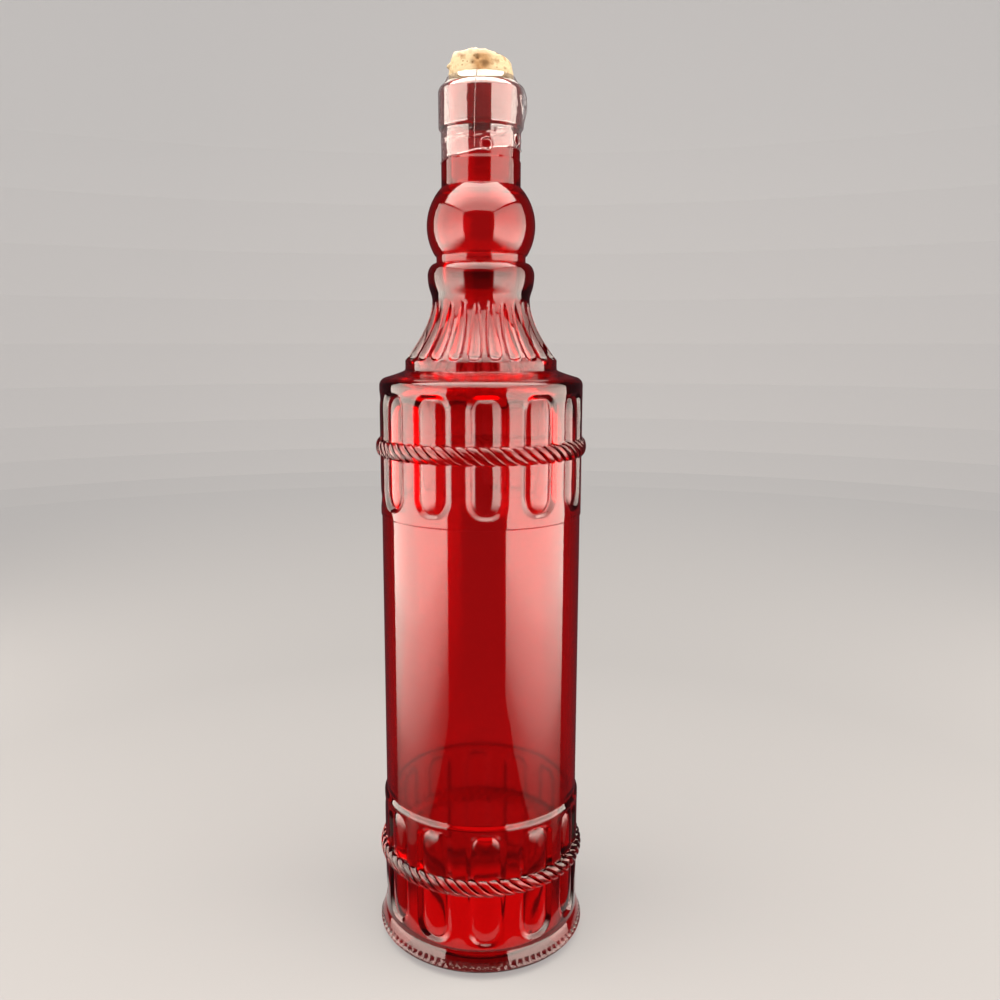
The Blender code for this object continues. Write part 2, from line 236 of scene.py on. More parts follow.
# %% [markdown]
# ## Outlines
#
# A turned form needs one outline. Straight stretches need only their ends, and rounded ones
# are Bezier curves or arcs with enough points to look smooth once they are turned. The outline
# is drawn by extruding one point, and spun round the Z axis.

# %% Helpers for outlines
def curve(start, start_pull, end_pull, end, steps):
    """Points along a Bezier curve of (radius, height), without its start."""
    points = []
    for i in range(1, steps + 1):
        t = i / steps
        weights = ((1 - t) ** 3, 3 * t * (1 - t) ** 2, 3 * t * t * (1 - t), t ** 3)
        corners = (start, start_pull, end_pull, end)
        points.append(tuple(sum(w * c[k] for w, c in zip(weights, corners)) for k in (0, 1)))
    return points


def arc(centre, radius, first, last, steps):
    """Points along a round stretch; angles in degrees, 0 outwards and 90 up."""
    angles = [math.radians(first + (last - first) * i / steps) for i in range(steps + 1)]
    return [(centre[0] + radius * math.cos(a), centre[1] + radius * math.sin(a)) for a in angles]


def flow(points, steps):
    """A smooth line through all the points, with steps points in each stretch."""
    ends = [points[0]] + list(points) + [points[-1]]
    smooth_line = [points[0]]
    for a, b, c, d in zip(ends, ends[1:], ends[2:], ends[3:]):
        for i in range(1, steps + 1):
            t = i / steps
            smooth_line.append(tuple(
                0.5 * (2 * b[k] + (c[k] - a[k]) * t + (2 * a[k] - 5 * b[k] + 4 * c[k] - d[k]) * t * t
                       + (3 * b[k] - a[k] - 3 * c[k] + d[k]) * t ** 3) for k in (0, 1)))
    return smooth_line


def hold(points, near=0.0003, long=0.0045):
    """Adds a point near both ends of each long stretch, so that smooth shading keeps it straight."""
    held = [points[0]]
    for last, here in zip(points, points[1:]):
        length = math.dist(last, here)
        if length > long:
            for share in (near / length, 1 - near / length):
                held.append(tuple(a + (b - a) * share for a, b in zip(last, here)))
        held.append(here)
    return held


def turn_outline(name, points, columns):
    """Draws an outline by extruding one point, and spins it round the Z axis."""
    points = hold(points)
    piece = add_piece(name, "plane", size=0.001, location=(points[0][0], 0.0, points[0][1]))
    edit(piece)
    take_all()
    bpy.ops.mesh.merge(type="CENTER")
    for last, here in zip(points, points[1:]):
        step = (here[0] - last[0], 0.0, here[1] - last[1])
        bpy.ops.mesh.extrude_region_move(TRANSFORM_OT_translate={"value": step})
    take_all()
    bpy.ops.mesh.spin(steps=columns, angle=2 * math.pi, center=(0, 0, 0), axis=(0, 0, 1))
    take_all()
    bpy.ops.mesh.remove_doubles(threshold=0.000002)
    leave_edit()
    return piece


# %% [markdown]
# ## The turned stretches of the glass
#
# Between the ornaments the glass is plain. It is turned in four stretches: the underside with
# the sloping heel, the plain body with its two small steps, the shoulder, and the way up from
# the waist over collar, ball and lip, into the mouth and down the inside to its floor. Outside
# and inside are one outline, so the wall is real and light bends in it twice.
#
# Along the lower half of the heel's slope runs a ring of small knurls, as moulds leave them for
# the bottle to stand on a wet belt. Each is a short notch. The slope's rows there are halved
# first, and every third column of the finer grid is sunk a little.

# %% Underside and heel
HEEL_STEPS = 8
heel = [(0.0, PUSH_UP_DEPTH), (PUSH_UP_RADIUS - 0.0045, PUSH_UP_DEPTH)]
heel += curve(heel[-1], (PUSH_UP_RADIUS - 0.0025, PUSH_UP_DEPTH), (PUSH_UP_RADIUS - 0.0012, 0.0),
              (PUSH_UP_RADIUS, 0.0), 6)
heel += [(CONTACT_RADIUS, 0.0)]
heel += curve(heel[-1], (CONTACT_RADIUS + 0.0018, 0.0009), (FOOT_RADIUS, FOOT_LOW_Z - 0.0014),
              (FOOT_RADIUS, FOOT_LOW_Z), 9)
heel += [(FOOT_RADIUS + (FOOT_HIGH_RADIUS - FOOT_RADIUS) * i / HEEL_STEPS,
          FOOT_LOW_Z + (FOOT_HIGH_Z - FOOT_LOW_Z) * i / HEEL_STEPS) for i in range(1, HEEL_STEPS + 1)]
heel += curve(heel[-1], (FOOT_HIGH_RADIUS - 0.0004, FOOT_HIGH_Z + 0.0011),
              (LOWER_BAND_RADIUS, FOOT_TOP_Z - 0.0010), (LOWER_BAND_RADIUS, FOOT_TOP_Z), 8)
glass_heel = turn_outline("glass_heel", heel, COLUMNS)

# %% Knurls on the lower half of the heel's slope
COLUMNS_A_KNURL = 3


def on_knurls(place):
    on_slope = FOOT_LOW_Z - 0.0001 < place.z < KNURL_TOP_Z
    return on_slope and math.hypot(place.x, place.y) > FOOT_HIGH_RADIUS


def knurl(place):
    """Sinks a point of the heel where one of the notches is."""
    column = round(math.atan2(place.y, place.x) / (math.pi / COLUMNS))
    if column % COLUMNS_A_KNURL or not FOOT_LOW_Z + 0.0002 < place.z < KNURL_TOP_Z - 0.0002:
        return place
    sunk = 1 - KNURL_DEPTH / math.hypot(place.x, place.y)
    return (place.x * sunk, place.y * sunk, place.z)


halve_level_edges(glass_heel, on_knurls)
reshape_all(glass_heel, knurl)
print("heel:", triangles(glass_heel), "triangles,", 2 * COLUMNS // COLUMNS_A_KNURL, "knurls")


# %% Plain body between two small steps
def step_outline(low, high, share=0.45):
    """A small rounded step from one radius to the next."""
    middle = (low[1] + high[1]) / 2
    return curve(low, (low[0], low[1] + share * (high[1] - low[1])),
                 (low[0], middle), ((low[0] + high[0]) / 2, middle), 4) + \
        curve(((low[0] + high[0]) / 2, middle), (high[0], middle),
              (high[0], high[1] - share * (high[1] - low[1])), high, 4)


body = [(LOWER_BAND_RADIUS, LOWER_BAND_TOP_Z)]
body += curve(body[0], (LOWER_BAND_RADIUS, LOWER_BAND_TOP_Z + 0.0008),
              (BODY_RADIUS + 0.0002, LOWER_STEP_TOP_Z - 0.0001), (BODY_RADIUS, LOWER_STEP_TOP_Z + 0.0004), 8)
body += [(BODY_RADIUS, height) for height in (0.0700, 0.0900, 0.1130, 0.1360, UPPER_STEP_Z)]
body += step_outline((BODY_RADIUS, UPPER_STEP_Z), (UPPER_BAND_RADIUS, UPPER_BAND_Z))
glass_body = turn_outline("glass_body", body, COLUMNS)

# %% Shoulder and the bell's plain foot
shoulder = [(UPPER_BAND_RADIUS, SHOULDER_BAND_TOP_Z)]
shoulder += curve(shoulder[0], (UPPER_BAND_RADIUS, SHOULDER_CORNER_Z - 0.0012),
                  (SHOULDER_CORNER_RADIUS + 0.0014, SHOULDER_CORNER_Z),
                  (SHOULDER_CORNER_RADIUS, SHOULDER_CORNER_Z + 0.0003), 10)
shoulder += curve(shoulder[-1], (0.0300, 0.2060), (0.0268, SHOULDER_TOP_Z - 0.0002),
                  (BELL_FOOT_RADIUS + 0.0001, SHOULDER_TOP_Z + 0.0004), 8)
shoulder += [(BELL_FOOT_RADIUS, 0.2086), (BELL_FOOT_RADIUS, BELL_FOOT_TOP_Z - 0.0006)]
shoulder += curve(shoulder[-1], (BELL_FOOT_RADIUS, BELL_FOOT_TOP_Z), (BELL_FOOT_RADIUS, BELL_FOOT_TOP_Z),
                  (BELL_FOOT_RADIUS, BELL_BOTTOM_Z), 3)
glass_shoulder = turn_outline("glass_shoulder", shoulder, COLUMNS)
print("body:", triangles(glass_body), "triangles; shoulder:", triangles(glass_shoulder), "triangles")

# %% Collar, ball, neck and lip
top = [(WAIST_RADIUS, WAIST_Z)]
top += curve(top[0], (WAIST_RADIUS + 0.0001, WAIST_Z + 0.0022), (COLLAR_RADIUS - 0.0001, COLLAR_Z - 0.0048),
             (COLLAR_RADIUS, COLLAR_Z), 10)
top += curve(top[-1], (COLLAR_RADIUS, COLLAR_Z + 0.0016), (GROOVE_RADIUS + 0.0021, GROOVE_Z),
             (GROOVE_RADIUS, GROOVE_Z), 9)
top += [(GROOVE_RADIUS, GROOVE_Z + 0.0004), (GROOVE_RADIUS, BALL_FOOT_Z - 0.0004),
        (GROOVE_RADIUS + 0.0001, BALL_FOOT_Z)]
ball = arc((0.0, BALL_Z), BALL_RADIUS, -math.degrees(math.acos(BALL_FOOT_RADIUS / BALL_RADIUS)),
           math.degrees(math.acos(NECK_RADIUS / BALL_RADIUS)), 22)
top += ball
top += [(NECK_RADIUS, ball[-1][1] + 0.0012), (NECK_RADIUS, SEALED_NECK_Z - 0.0004)]
top += [(SEALED_NECK_RADIUS, SEALED_NECK_Z + 0.0002), (SEALED_NECK_RADIUS, LIP_Z - 0.0007)]
top += curve(top[-1], (SEALED_NECK_RADIUS, LIP_Z - 0.0003), (SEALED_NECK_RADIUS + 0.0001, LIP_Z - 0.0002),
             (SEALED_NECK_RADIUS + 0.0003, LIP_Z), 3)
top += curve((LIP_RADIUS - 0.0002, LIP_Z + 0.0005), (LIP_RADIUS - 0.0001, LIP_Z + 0.0006),
             (LIP_RADIUS, LIP_Z + 0.0007), (LIP_RADIUS, LIP_Z + 0.0010), 3)
LIP_ROUND_CENTRE = (LIP_RADIUS - LIP_ROUNDING, GLASS_TOP_Z - LIP_ROUNDING)
top += arc(LIP_ROUND_CENTRE, LIP_ROUNDING, 0.0, 90.0, 8)
top += arc((MOUTH_RADIUS + MOUTH_ROUNDING, GLASS_TOP_Z - MOUTH_ROUNDING), MOUTH_ROUNDING, 90.0, 180.0, 4)


# %% Down the inside
def bell_point(t):
    """Radius and height on the bell, from its bottom (t = 0) to the waist (t = 1)."""
    low, bend, high = (1 - t) ** 2, 2 * t * (1 - t), t * t
    return (BELL_FOOT_RADIUS * low + WAIST_RADIUS * (bend + high),
            BELL_BOTTOM_Z * low + BELL_BEND_Z * bend + WAIST_Z * high)


inner_bell = [(bell_point(t)[0] - WALL, bell_point(t)[1] - 0.001) for t in (0.6, 0.3, 0.1)]
inner_ball = arc((0.0, BALL_Z), BALL_RADIUS - WALL, 43.0, -32.0, 7)
inside = [(BORE_RADIUS, BORE_END_Z), (BORE_RADIUS, inner_ball[0][1] + 0.0050)] + inner_ball
inside += [(0.0123, 0.2445), (0.0125, 0.2405), (0.0131, 0.2355), (WAIST_RADIUS - WALL, 0.2305)]
inside += inner_bell
inside += [(BELL_FOOT_RADIUS - WALL, SHOULDER_TOP_Z - 0.0010), (0.0273, 0.2032), (0.0300, 0.1990),
           (0.0313, 0.1935), (BODY_RADIUS - WALL, 0.1860)]
inside = flow(inside, 3)
inside += [(BODY_RADIUS - WALL, height) for height in (0.1500, 0.1000, 0.0500)]
inside += arc((BODY_RADIUS - WALL - INNER_HEEL, INNER_BASE_Z + INNER_HEEL), INNER_HEEL, 0.0, -90.0, 8)
inside += [(0.0150, INNER_BASE_Z), (0.0, INNER_BASE_Z)]
glass_top = turn_outline("glass_top", top + inside, COLUMNS)
print("from waist to inner floor:", triangles(glass_top), "triangles")

# %% [markdown]
# ## The bell and its 24 scoops
#
# Over the shoulder the glass draws in like a bell. Round it 24 scoops are pressed in: each is
# a hollow with a round bottom end that narrows to a point at the waist, and between two of them
# stands a thin land with sharp edges. Sharp edges need points along them, and a plain turned grid
# has none there: its columns run straight up while the scoops narrow. So the bell is turned, its
# columns are halved, and then every point moves sideways onto a grid that follows the scoops'
# own outlines, and inwards by the scoop's depth there.

# %% The bell's plain form
BELL_ROWS, BELL_CROWD = 30, 1.4
glass_bell = turn_outline("glass_bell", [bell_point((i / BELL_ROWS) ** BELL_CROWD)
                                         for i in range(BELL_ROWS + 1)], COLUMNS)
halve_level_edges(glass_bell, lambda place: True)


def bell_share(height):
    """The bell's t at a height."""
    low, high = 0.0, 1.0
    for _ in range(30):
        middle = (low + high) / 2
        low, high = (middle, high) if bell_point(middle)[1] < height else (low, middle)
    return low


def even_ring(place):
    """Puts a point onto the bell's own round."""
    radius, angle = bell_point(bell_share(place.z))[0], math.atan2(place.y, place.x)
    return (radius * math.cos(angle), radius * math.sin(angle), place.z)


for stretch, height in ((glass_shoulder, BELL_BOTTOM_Z), (glass_top, WAIST_Z)):
    def on_seam(place):
        outside = math.hypot(place.x, place.y) > WAIST_RADIUS - 0.0001
        return outside and abs(place.z - height) < SAME_PLACE

    edit(stretch)
    pick(stretch, on_seam)
    bpy.ops.mesh.subdivide(number_cuts=1)
    pick(stretch, on_seam)
    reshape(stretch, even_ring)
    leave_edit()
print("bell:", triangles(glass_bell), "triangles")

# %% The scoops
BELL_SCOOPS, SCOOP_DEPTH = 24, 0.00150
SCOOP_PERIOD = 2 * math.pi / BELL_SCOOPS
SCOOP_HALF_WIDTH = SCOOP_PERIOD * 5 / 12
LAND_HALF_WIDTH = SCOOP_PERIOD / 2 - SCOOP_HALF_WIDTH
# Where a scoop starts and ends on the bell, how round its low end is, and how narrow its tip.
SCOOP_LOW_END, SCOOP_HIGH_END, SCOOP_ROUND, SCOOP_TIP = (1 / BELL_ROWS) ** BELL_CROWD, 0.92, 0.10, 0.24
SCOOP_NARROWS, SCOOP_LOW_SLOPE, SCOOP_TIP_SLOPE = 0.30, 0.07, 0.15


def scoop_half_width(rise):
    """Half the angle that a scoop takes up; rise goes from 0 at its low end to 1 at its tip."""
    if rise > 1.0:
        widened = (rise - 1.0) / (1 / SCOOP_HIGH_END - 1.0)
    else:
        widened = math.sqrt(1 - (max(0.0, rise - SCOOP_NARROWS) / (1 - SCOOP_NARROWS)) ** 2)
    return SCOOP_HALF_WIDTH * (SCOOP_TIP + (1 - SCOOP_TIP) * widened)


def scoop_depth(across, above_low_end, rise):
    """How deep a scoop is: round across, steep at its low end and shallow towards its tip."""
    if above_low_end <= 0.0 or rise >= 1.0:
        return 0.0
    depth = SCOOP_DEPTH * (1 - across ** 2.2) * (1 - 0.55 * rise)
    depth *= min(1.0, (1 - rise) / SCOOP_TIP_SLOPE) ** 0.5
    return depth * (1 - (1 - min(1.0, above_low_end / SCOOP_LOW_SLOPE)) ** 2.2)


def press_scoops(place):
    """Moves a point of the bell onto the grid that follows the scoops, and presses it in."""
    t, angle = bell_share(place.z), math.atan2(place.x, -place.y)
    middle = (math.floor(angle / SCOOP_PERIOD) + 0.5) * SCOOP_PERIOD
    local = angle - middle
    across = min(1.0, abs(local) / SCOOP_HALF_WIDTH)
    low_end = SCOOP_LOW_END + SCOOP_ROUND * (1 - math.sqrt(1 - across ** 2))
    if t < SCOOP_LOW_END:
        t *= low_end / SCOOP_LOW_END
    else:
        t = low_end + (1 - low_end) * (t - SCOOP_LOW_END) / (1 - SCOOP_LOW_END)
    rise = (t - SCOOP_LOW_END) / (SCOOP_HIGH_END - SCOOP_LOW_END)
    width, beyond = scoop_half_width(min(rise, 1 / SCOOP_HIGH_END)), abs(local) - SCOOP_HALF_WIDTH
    if beyond <= 0.0:
        turned = local * width / SCOOP_HALF_WIDTH
    else:
        turned = math.copysign(width + beyond * (SCOOP_PERIOD / 2 - width) / LAND_HALF_WIDTH, local)
    depth = scoop_depth(across, t - low_end, rise)
    (radius, height), (ahead, above) = bell_point(t), bell_point(t + 0.001)
    slope = math.atan2(above - height, ahead - radius) - math.pi / 2
    radius, height = radius - depth * math.cos(slope), height - depth * math.sin(slope)
    return (radius * math.sin(middle + turned), -radius * math.cos(middle + turned), height)


reshape_all(glass_bell, press_scoops)
face_outwards(glass_bell)
print("bell with", BELL_SCOOPS, "scoops")

# %% [markdown]
# ## The flutes
#
# Each band has 12 upright flutes. A flute is a long pillow of glass inside a narrow valley: the
# valley slopes down from the band, and the pillow rises from it in a soft curve. One flute is
# made flat, as a tile that faces -Y: a rectangle with rounded corners, extruded inwards ring by
# ring, with a border that fits its neighbours. The tile is repeated 12 times in a row, and the
# row is bent into a ring by a Simple Deform modifier.

# %% One flute as a flat tile
FLUTE_HALF_WIDTH, FLUTE_LOW_END, FLUTE_HIGH_END = 0.0072, 0.0062, 0.0048
VALLEY_SIDE, VALLEY_END = 0.00225, 0.00150
# How far in from the flute's edge, and how deep there: down the valley, and up onto the pillow.
FLUTE_PROFILE = ((0.00022, 0.00002), (0.00060, 0.00016), (0.00110, 0.00044), (0.00165, 0.00078),
                 (0.00200, 0.00098), (0.00225, 0.00105), (0.00240, 0.00099), (0.00260, 0.00082),
                 (0.00300, 0.00062), (0.00370, 0.00040), (0.00460, 0.00020), (0.00560, 0.00006),
                 (0.00650, 0.00000))
ARC_STEPS, SIDE_CUTS, HIGH_CUTS, LOW_CUTS = 10, 13, 5, 1


def make_flute_tile(name, radius, low_z, high_z, middle_z, half_height):
    """A flat tile with one flute, as wide as a twelfth of the ring of that radius."""
    tile = add_piece(name, "plane", (2 * FLUTE_HALF_WIDTH, 2 * half_height, 1.0), size=1.0,
                     rotation=(math.pi / 2, 0, 0))
    edit(tile)
    for side, size in ((-1, FLUTE_LOW_END), (1, FLUTE_HIGH_END)):
        pick(tile, lambda c: c.z * side > half_height - 0.0001)
        bpy.ops.mesh.bevel(offset=size, segments=ARC_STEPS, affect="VERTICES")
    for wanted, cuts in ((lambda c: abs(c.x) > FLUTE_HALF_WIDTH - SAME_PLACE, SIDE_CUTS),
                         (lambda c: c.z > half_height - SAME_PLACE, HIGH_CUTS),
                         (lambda c: c.z < SAME_PLACE - half_height, LOW_CUTS)):
        pick(tile, wanted)
        bpy.ops.mesh.subdivide(number_cuts=cuts)
    take_all()
    across, along, depth = 0.0, 0.0, 0.0
    for inset, sunk in FLUTE_PROFILE + ((FLUTE_HALF_WIDTH, 0.0),):
        end = inset * VALLEY_END / VALLEY_SIDE if inset < VALLEY_SIDE else inset - VALLEY_SIDE + VALLEY_END
        size = ((FLUTE_HALF_WIDTH - inset) / (FLUTE_HALF_WIDTH - across), 1.0,
                (half_height - end) / (half_height - along))
        bpy.ops.mesh.inset(thickness=0.0)
        bpy.ops.transform.resize(value=size, center_override=(0, 0, 0))
        bpy.ops.transform.translate(value=(0, sunk - depth, 0))
        across, along, depth = inset, end, sunk
    bpy.ops.mesh.delete(type="ONLY_FACE")
    take_all()
    bpy.ops.mesh.remove_doubles(threshold=SAME_POINT)
    set_border(tile, radius, low_z - middle_z, high_z - middle_z)
    pick(tile, lambda c: True)
    bpy.ops.transform.translate(value=(0, 0, middle_z))
    leave_edit()
    return tile


def round_order(vertex):
    """Where a point comes on the way round the tile, from the bottom's middle to the right."""
    return math.atan2(vertex.co.x, -vertex.co.z) % (2 * math.pi)


def set_border(tile, radius, low, high):
    """Extrudes the flute's outline once more and sets its points on the tile's own border."""
    mesh = bmesh.from_edit_mesh(tile.data)
    take_all(False)
    for edge in mesh.edges:
        if edge.is_boundary:
            edge.select_set(True)
    bmesh.update_edit_mesh(tile.data)
    bpy.ops.mesh.extrude_region_move(TRANSFORM_OT_translate={"value": (0, 0, 0)})
    mesh = bmesh.from_edit_mesh(tile.data)
    outline = sorted((vertex for vertex in mesh.verts if vertex.select), key=round_order)
    half, width = COLUMNS_A_SECTOR // 2, 2 * math.pi * radius / SECTORS
    quarter = len(outline) // 2 - half
    for i, vertex in enumerate(outline):
        n = min(i, len(outline) - i)
        side = 1 if i <= len(outline) // 2 else -1
        if n <= half:
            vertex.co = (side * width * n / COLUMNS_A_SECTOR, 0.0, low)
        elif n >= quarter:
            vertex.co = (side * width * (len(outline) / 2 - n) / COLUMNS_A_SECTOR, 0.0, high)
        else:
            vertex.co = (side * width / 2, 0.0, vertex.co.z)
    bmesh.update_edit_mesh(tile.data)


# %% Rows of tiles, bent into rings
def repeat_and_bend(tile, count, width, radius):
    """Repeats a tile along X, bends the row into a ring round the Z axis and closes it."""
    row = tile.modifiers.new("row", "ARRAY")
    row.count, row.use_relative_offset, row.use_constant_offset = count, False, True
    row.constant_offset_displace = (width, 0.0, 0.0)
    row.use_merge_vertices, row.merge_threshold = True, SAME_POINT
    apply_modifiers(tile)
    across = [vertex.co.x for vertex in tile.data.vertices]
    bend = tile.modifiers.new("bend", "SIMPLE_DEFORM")
    bend.deform_method, bend.deform_axis = "BEND", "Z"
    bend.angle = (max(across) - min(across)) / radius
    apply_modifiers(tile)
    edit(tile)
    take_all()
    bpy.ops.transform.translate(value=(0, -radius, 0))
    bpy.ops.mesh.remove_doubles(threshold=SAME_POINT)
    leave_edit()


# A band's radius, its low and high edge, and the middle and half the height of its flutes.
LOWER_BAND = (LOWER_BAND_RADIUS, FOOT_TOP_Z, LOWER_BAND_TOP_Z, 0.0319, 0.0211)
UPPER_BAND = (UPPER_BAND_RADIUS, UPPER_BAND_Z, SHOULDER_BAND_TOP_Z, 0.1805, 0.0202)
lower_flutes = make_flute_tile("lower_flutes", *LOWER_BAND)
upper_flutes = make_flute_tile("upper_flutes", *UPPER_BAND)
for flutes, band in ((lower_flutes, LOWER_BAND), (upper_flutes, UPPER_BAND)):
    one = triangles(flutes)
    repeat_and_bend(flutes, SECTORS, 2 * math.pi * band[0] / SECTORS, band[0])
    corners = [vertex.co for vertex in flutes.data.vertices]
    print(flutes.name, one, "triangles a tile,", triangles(flutes), "in all; radius",
          round(max(math.hypot(c.x, c.y) for c in corners), 5))

# %% [markdown]
# ## One closed body of glass
#
# The stretches meet point on point, so joining them and merging doubles closes the glass. Its
# normals are then made to point out of the wall. The ornaments stand a little turned from the
# front, so the whole glass is turned by that angle.

# %% Join the glass
glass = join("glass_bottle", [glass_heel, lower_flutes, glass_body, upper_flutes, glass_shoulder,
                              glass_bell, glass_top])
edit(glass)
take_all()
bpy.ops.mesh.remove_doubles(threshold=SAME_PLACE)
bpy.ops.mesh.normals_make_consistent(inside=False)
bpy.ops.transform.rotate(value=-ORNAMENT_TURN, orient_axis="Z", center_override=(0, 0, 0))
take_all(False)
bpy.ops.mesh.select_non_manifold()
open_points = sum(vertex.select for vertex in bmesh.from_edit_mesh(glass.data).verts)
leave_edit()
print("glass:", triangles(glass), "triangles,", open_points, "open points")

# %% [markdown]
# ## The two ropes
#
# A rope of 60 strands crosses each band. On pressed glass it isn't a wound cord but a relief: a
# row of rounded, leaning strands with narrow furrows between them. One strand is shaped from a
# grid and repeated 60 times, the row is bent like the flutes, and its root is carried into the
# wall and closed. A Boolean modifier unites both ropes with the glass, so that no face of them
# is left inside it: light would bend on a hidden face as on a real one.

# %% One strand as a flat tile
ROPE_STRANDS, ROPE_HALF_HEIGHT = 60, 0.0032
STRAND_LEAN, STRAND_FURROW, STRAND_SCALLOP = math.radians(5.3), 0.60, 0.32
STRAND_FLATNESS, STRAND_CROWD, FURROW_SHARPNESS = 0.85, 0.6, 5
ROPE_SINK, ROPE_ROOT_DEPTH = 0.0006, 0.0018
STRAND_COLUMNS, STRAND_ROWS = 12, 14


def make_rope(name, radius, rise, height):
    """A closed ring of leaning strands that stands on a band of that radius."""
    pitch = 2 * math.pi * radius / ROPE_STRANDS
    strand = add_piece(name, "grid", x_subdivisions=STRAND_COLUMNS, y_subdivisions=STRAND_ROWS, size=1.0,
                       rotation=(math.pi / 2, 0, 0))

    def strand_place(place):
        angle = math.pi * place.z
        across = math.copysign(abs(2 * place.x) ** STRAND_CROWD, place.x)
        edge = abs(across) ** FURROW_SHARPNESS
        out = (rise + ROPE_SINK) * abs(math.cos(angle)) ** STRAND_FLATNESS * (1 - STRAND_FURROW * edge)
        lean = STRAND_LEAN * radius * math.sin(angle)
        up = ROPE_HALF_HEIGHT * math.sin(angle) * (1 - STRAND_SCALLOP * edge)
        return (pitch * across / 2 - lean, ROPE_SINK - out, height + up)

    reshape_all(strand, strand_place)
    repeat_and_bend(strand, ROPE_STRANDS, pitch, radius)
    edit(strand)
    take_all(False)
    bpy.ops.mesh.select_non_manifold()
    bpy.ops.mesh.extrude_region_move(TRANSFORM_OT_translate={"value": (0, 0, 0)})
    root = (radius - ROPE_ROOT_DEPTH) / (radius - ROPE_SINK)
    bpy.ops.transform.resize(value=(root, root, 1.0), center_override=(0, 0, 0))
    bpy.ops.mesh.bridge_edge_loops()
    leave_edit()
    face_outwards(strand)
    return strand


# %% Set both ropes into the glass
ropes = bpy.data.collections.new("ropes")
bpy.context.scene.collection.children.link(ropes)
for name, radius, rise, height in (("lower_rope", LOWER_BAND_RADIUS, 0.0017, 0.0330),
                                   ("upper_rope", UPPER_BAND_RADIUS, 0.0015, 0.1813)):
    rope = make_rope(name, radius, rise, height)
    for holder in list(rope.users_collection):
        holder.objects.unlink(rope)
    ropes.objects.link(rope)
    print(name, triangles(rope), "triangles")
unite = glass.modifiers.new("unite", "BOOLEAN")
unite.operation, unite.operand_type, unite.collection = "UNION", "COLLECTION", ropes
unite.solver = "MANIFOLD"
apply_modifiers(glass)
for rope in list(ropes.objects):
    bpy.data.objects.remove(rope)
bpy.data.collections.remove(ropes)
smooth(glass, 38)
print("glass with ropes:", triangles(glass), "triangles")

# %% [markdown]
# ## The cork
#
# A natural cork is bark: pale tan, speckled with brown pores. This one stands out of the mouth
# by a centimetre, a little wider there than where the neck squeezes it, and its top rim is torn.

# %% The cork's body
CORK_GAP = 0.0003
CORK_BOTTOM_Z, CORK_TOP_Z, CORK_RADIUS = 0.2880, 0.3102, 0.01070
CORK_COLUMNS = 72


def bore_radius_at(height):
    share = (height - BORE_END_Z) / (GLASS_TOP_Z - BORE_END_Z)
    return BORE_RADIUS + (MOUTH_RADIUS - BORE_RADIUS) * share


low, high = bore_radius_at(CORK_BOTTOM_Z) - CORK_GAP, bore_radius_at(GLASS_TOP_Z) - CORK_GAP
outline = [(0.0, CORK_BOTTOM_Z), (low - 0.0030, CORK_BOTTOM_Z), (low - 0.0005, CORK_BOTTOM_Z),
           (low, CORK_BOTTOM_Z + 0.0005), (high, GLASS_TOP_Z - 0.0004)]
outline += [(high + 0.00010, GLASS_TOP_Z + 0.0006), (high + 0.00022, GLASS_TOP_Z + 0.0012)]
outline += [(CORK_RADIUS, GLASS_TOP_Z + 0.0020 + 0.0007 * i) for i in range(10)]
outline += arc((CORK_RADIUS - 0.0005, CORK_TOP_Z - 0.0005), 0.0005, 20.0, 90.0, 3)
outline += [(CORK_RADIUS * share, CORK_TOP_Z) for share in (0.88, 0.78, 0.66, 0.52, 0.36, 0.20)]
outline += [(0.0, CORK_TOP_Z)]
cork = turn_outline("cork_stopper", outline, CORK_COLUMNS)
face_outwards(cork)

# %% [markdown]
# The torn rim, a loose flake and the pits are modelled, because they show in the outline. The
# rim's height follows a short table of turns and drops, with smooth noise over it for the fray.
# Each pit is a small dent: points near its middle are pushed in.

# %% How the rim is torn
CORK_TORN_Z, RIM_START_RADIUS, SIDE_RADIUS = 0.3040, 0.0055, 0.0088
# Turn from the front in degrees, and how much lower the rim is there in millimetres.
CORK_RIM = ((-90, 2.4), (-72, 1.7), (-56, 0.6), (-35, 0.9), (-15, 0.5), (0, 0.9), (8, 0.9), (20, 1.3),
            (31, 1.85), (56, 2.3), (90, 2.5), (120, 1.6), (150, 0.9), (180, 1.2), (210, 1.6), (240, 1.9),
            (270, 2.4))
# Turn, height, size and depth of each pit.
CORK_PITS = ((-7.0, 0.3071, 0.0011, 0.0010), (6.0, 0.3046, 0.0016, 0.0011), (-15.0, 0.3052, 0.0009, 0.0006),
             (47.0, 0.3040, 0.0008, 0.0005), (95.0, 0.3060, 0.0013, 0.0010), (140.0, 0.3050, 0.0011, 0.0009),
             (178.0, 0.3066, 0.0014, 0.0011), (-125.0, 0.3070, 0.0010, 0.0009))


def outward_at(angle):
    """The level direction out of the axis at a turn from the front."""
    return Vector((math.sin(angle), -math.cos(angle), 0.0))


def rim_drop(angle):
    """How much lower the torn rim is at a place round the cork, in metres."""
    turn = (math.degrees(angle) + 90) % 360 - 90
    for (here, drop), (there, next_drop) in zip(CORK_RIM, CORK_RIM[1:]):
        if here <= turn <= there:
            share = (turn - here) / (there - here)
            share = share * share * (3 - 2 * share)
            return 0.001 * (drop + (next_drop - drop) * share)
    return 0.001 * CORK_RIM[0][1]


# %% Torn rim, flake and pits
FLAKE_TURN, FLAKE_WIDTH, FLAKE_Z, FLAKE_HEIGHT, FLAKE_SIZE = math.radians(-80), 0.16, 0.3072, 0.0009, 0.0012
COARSE, FINE, TOP_WAVES = 3.0, 1400, 500


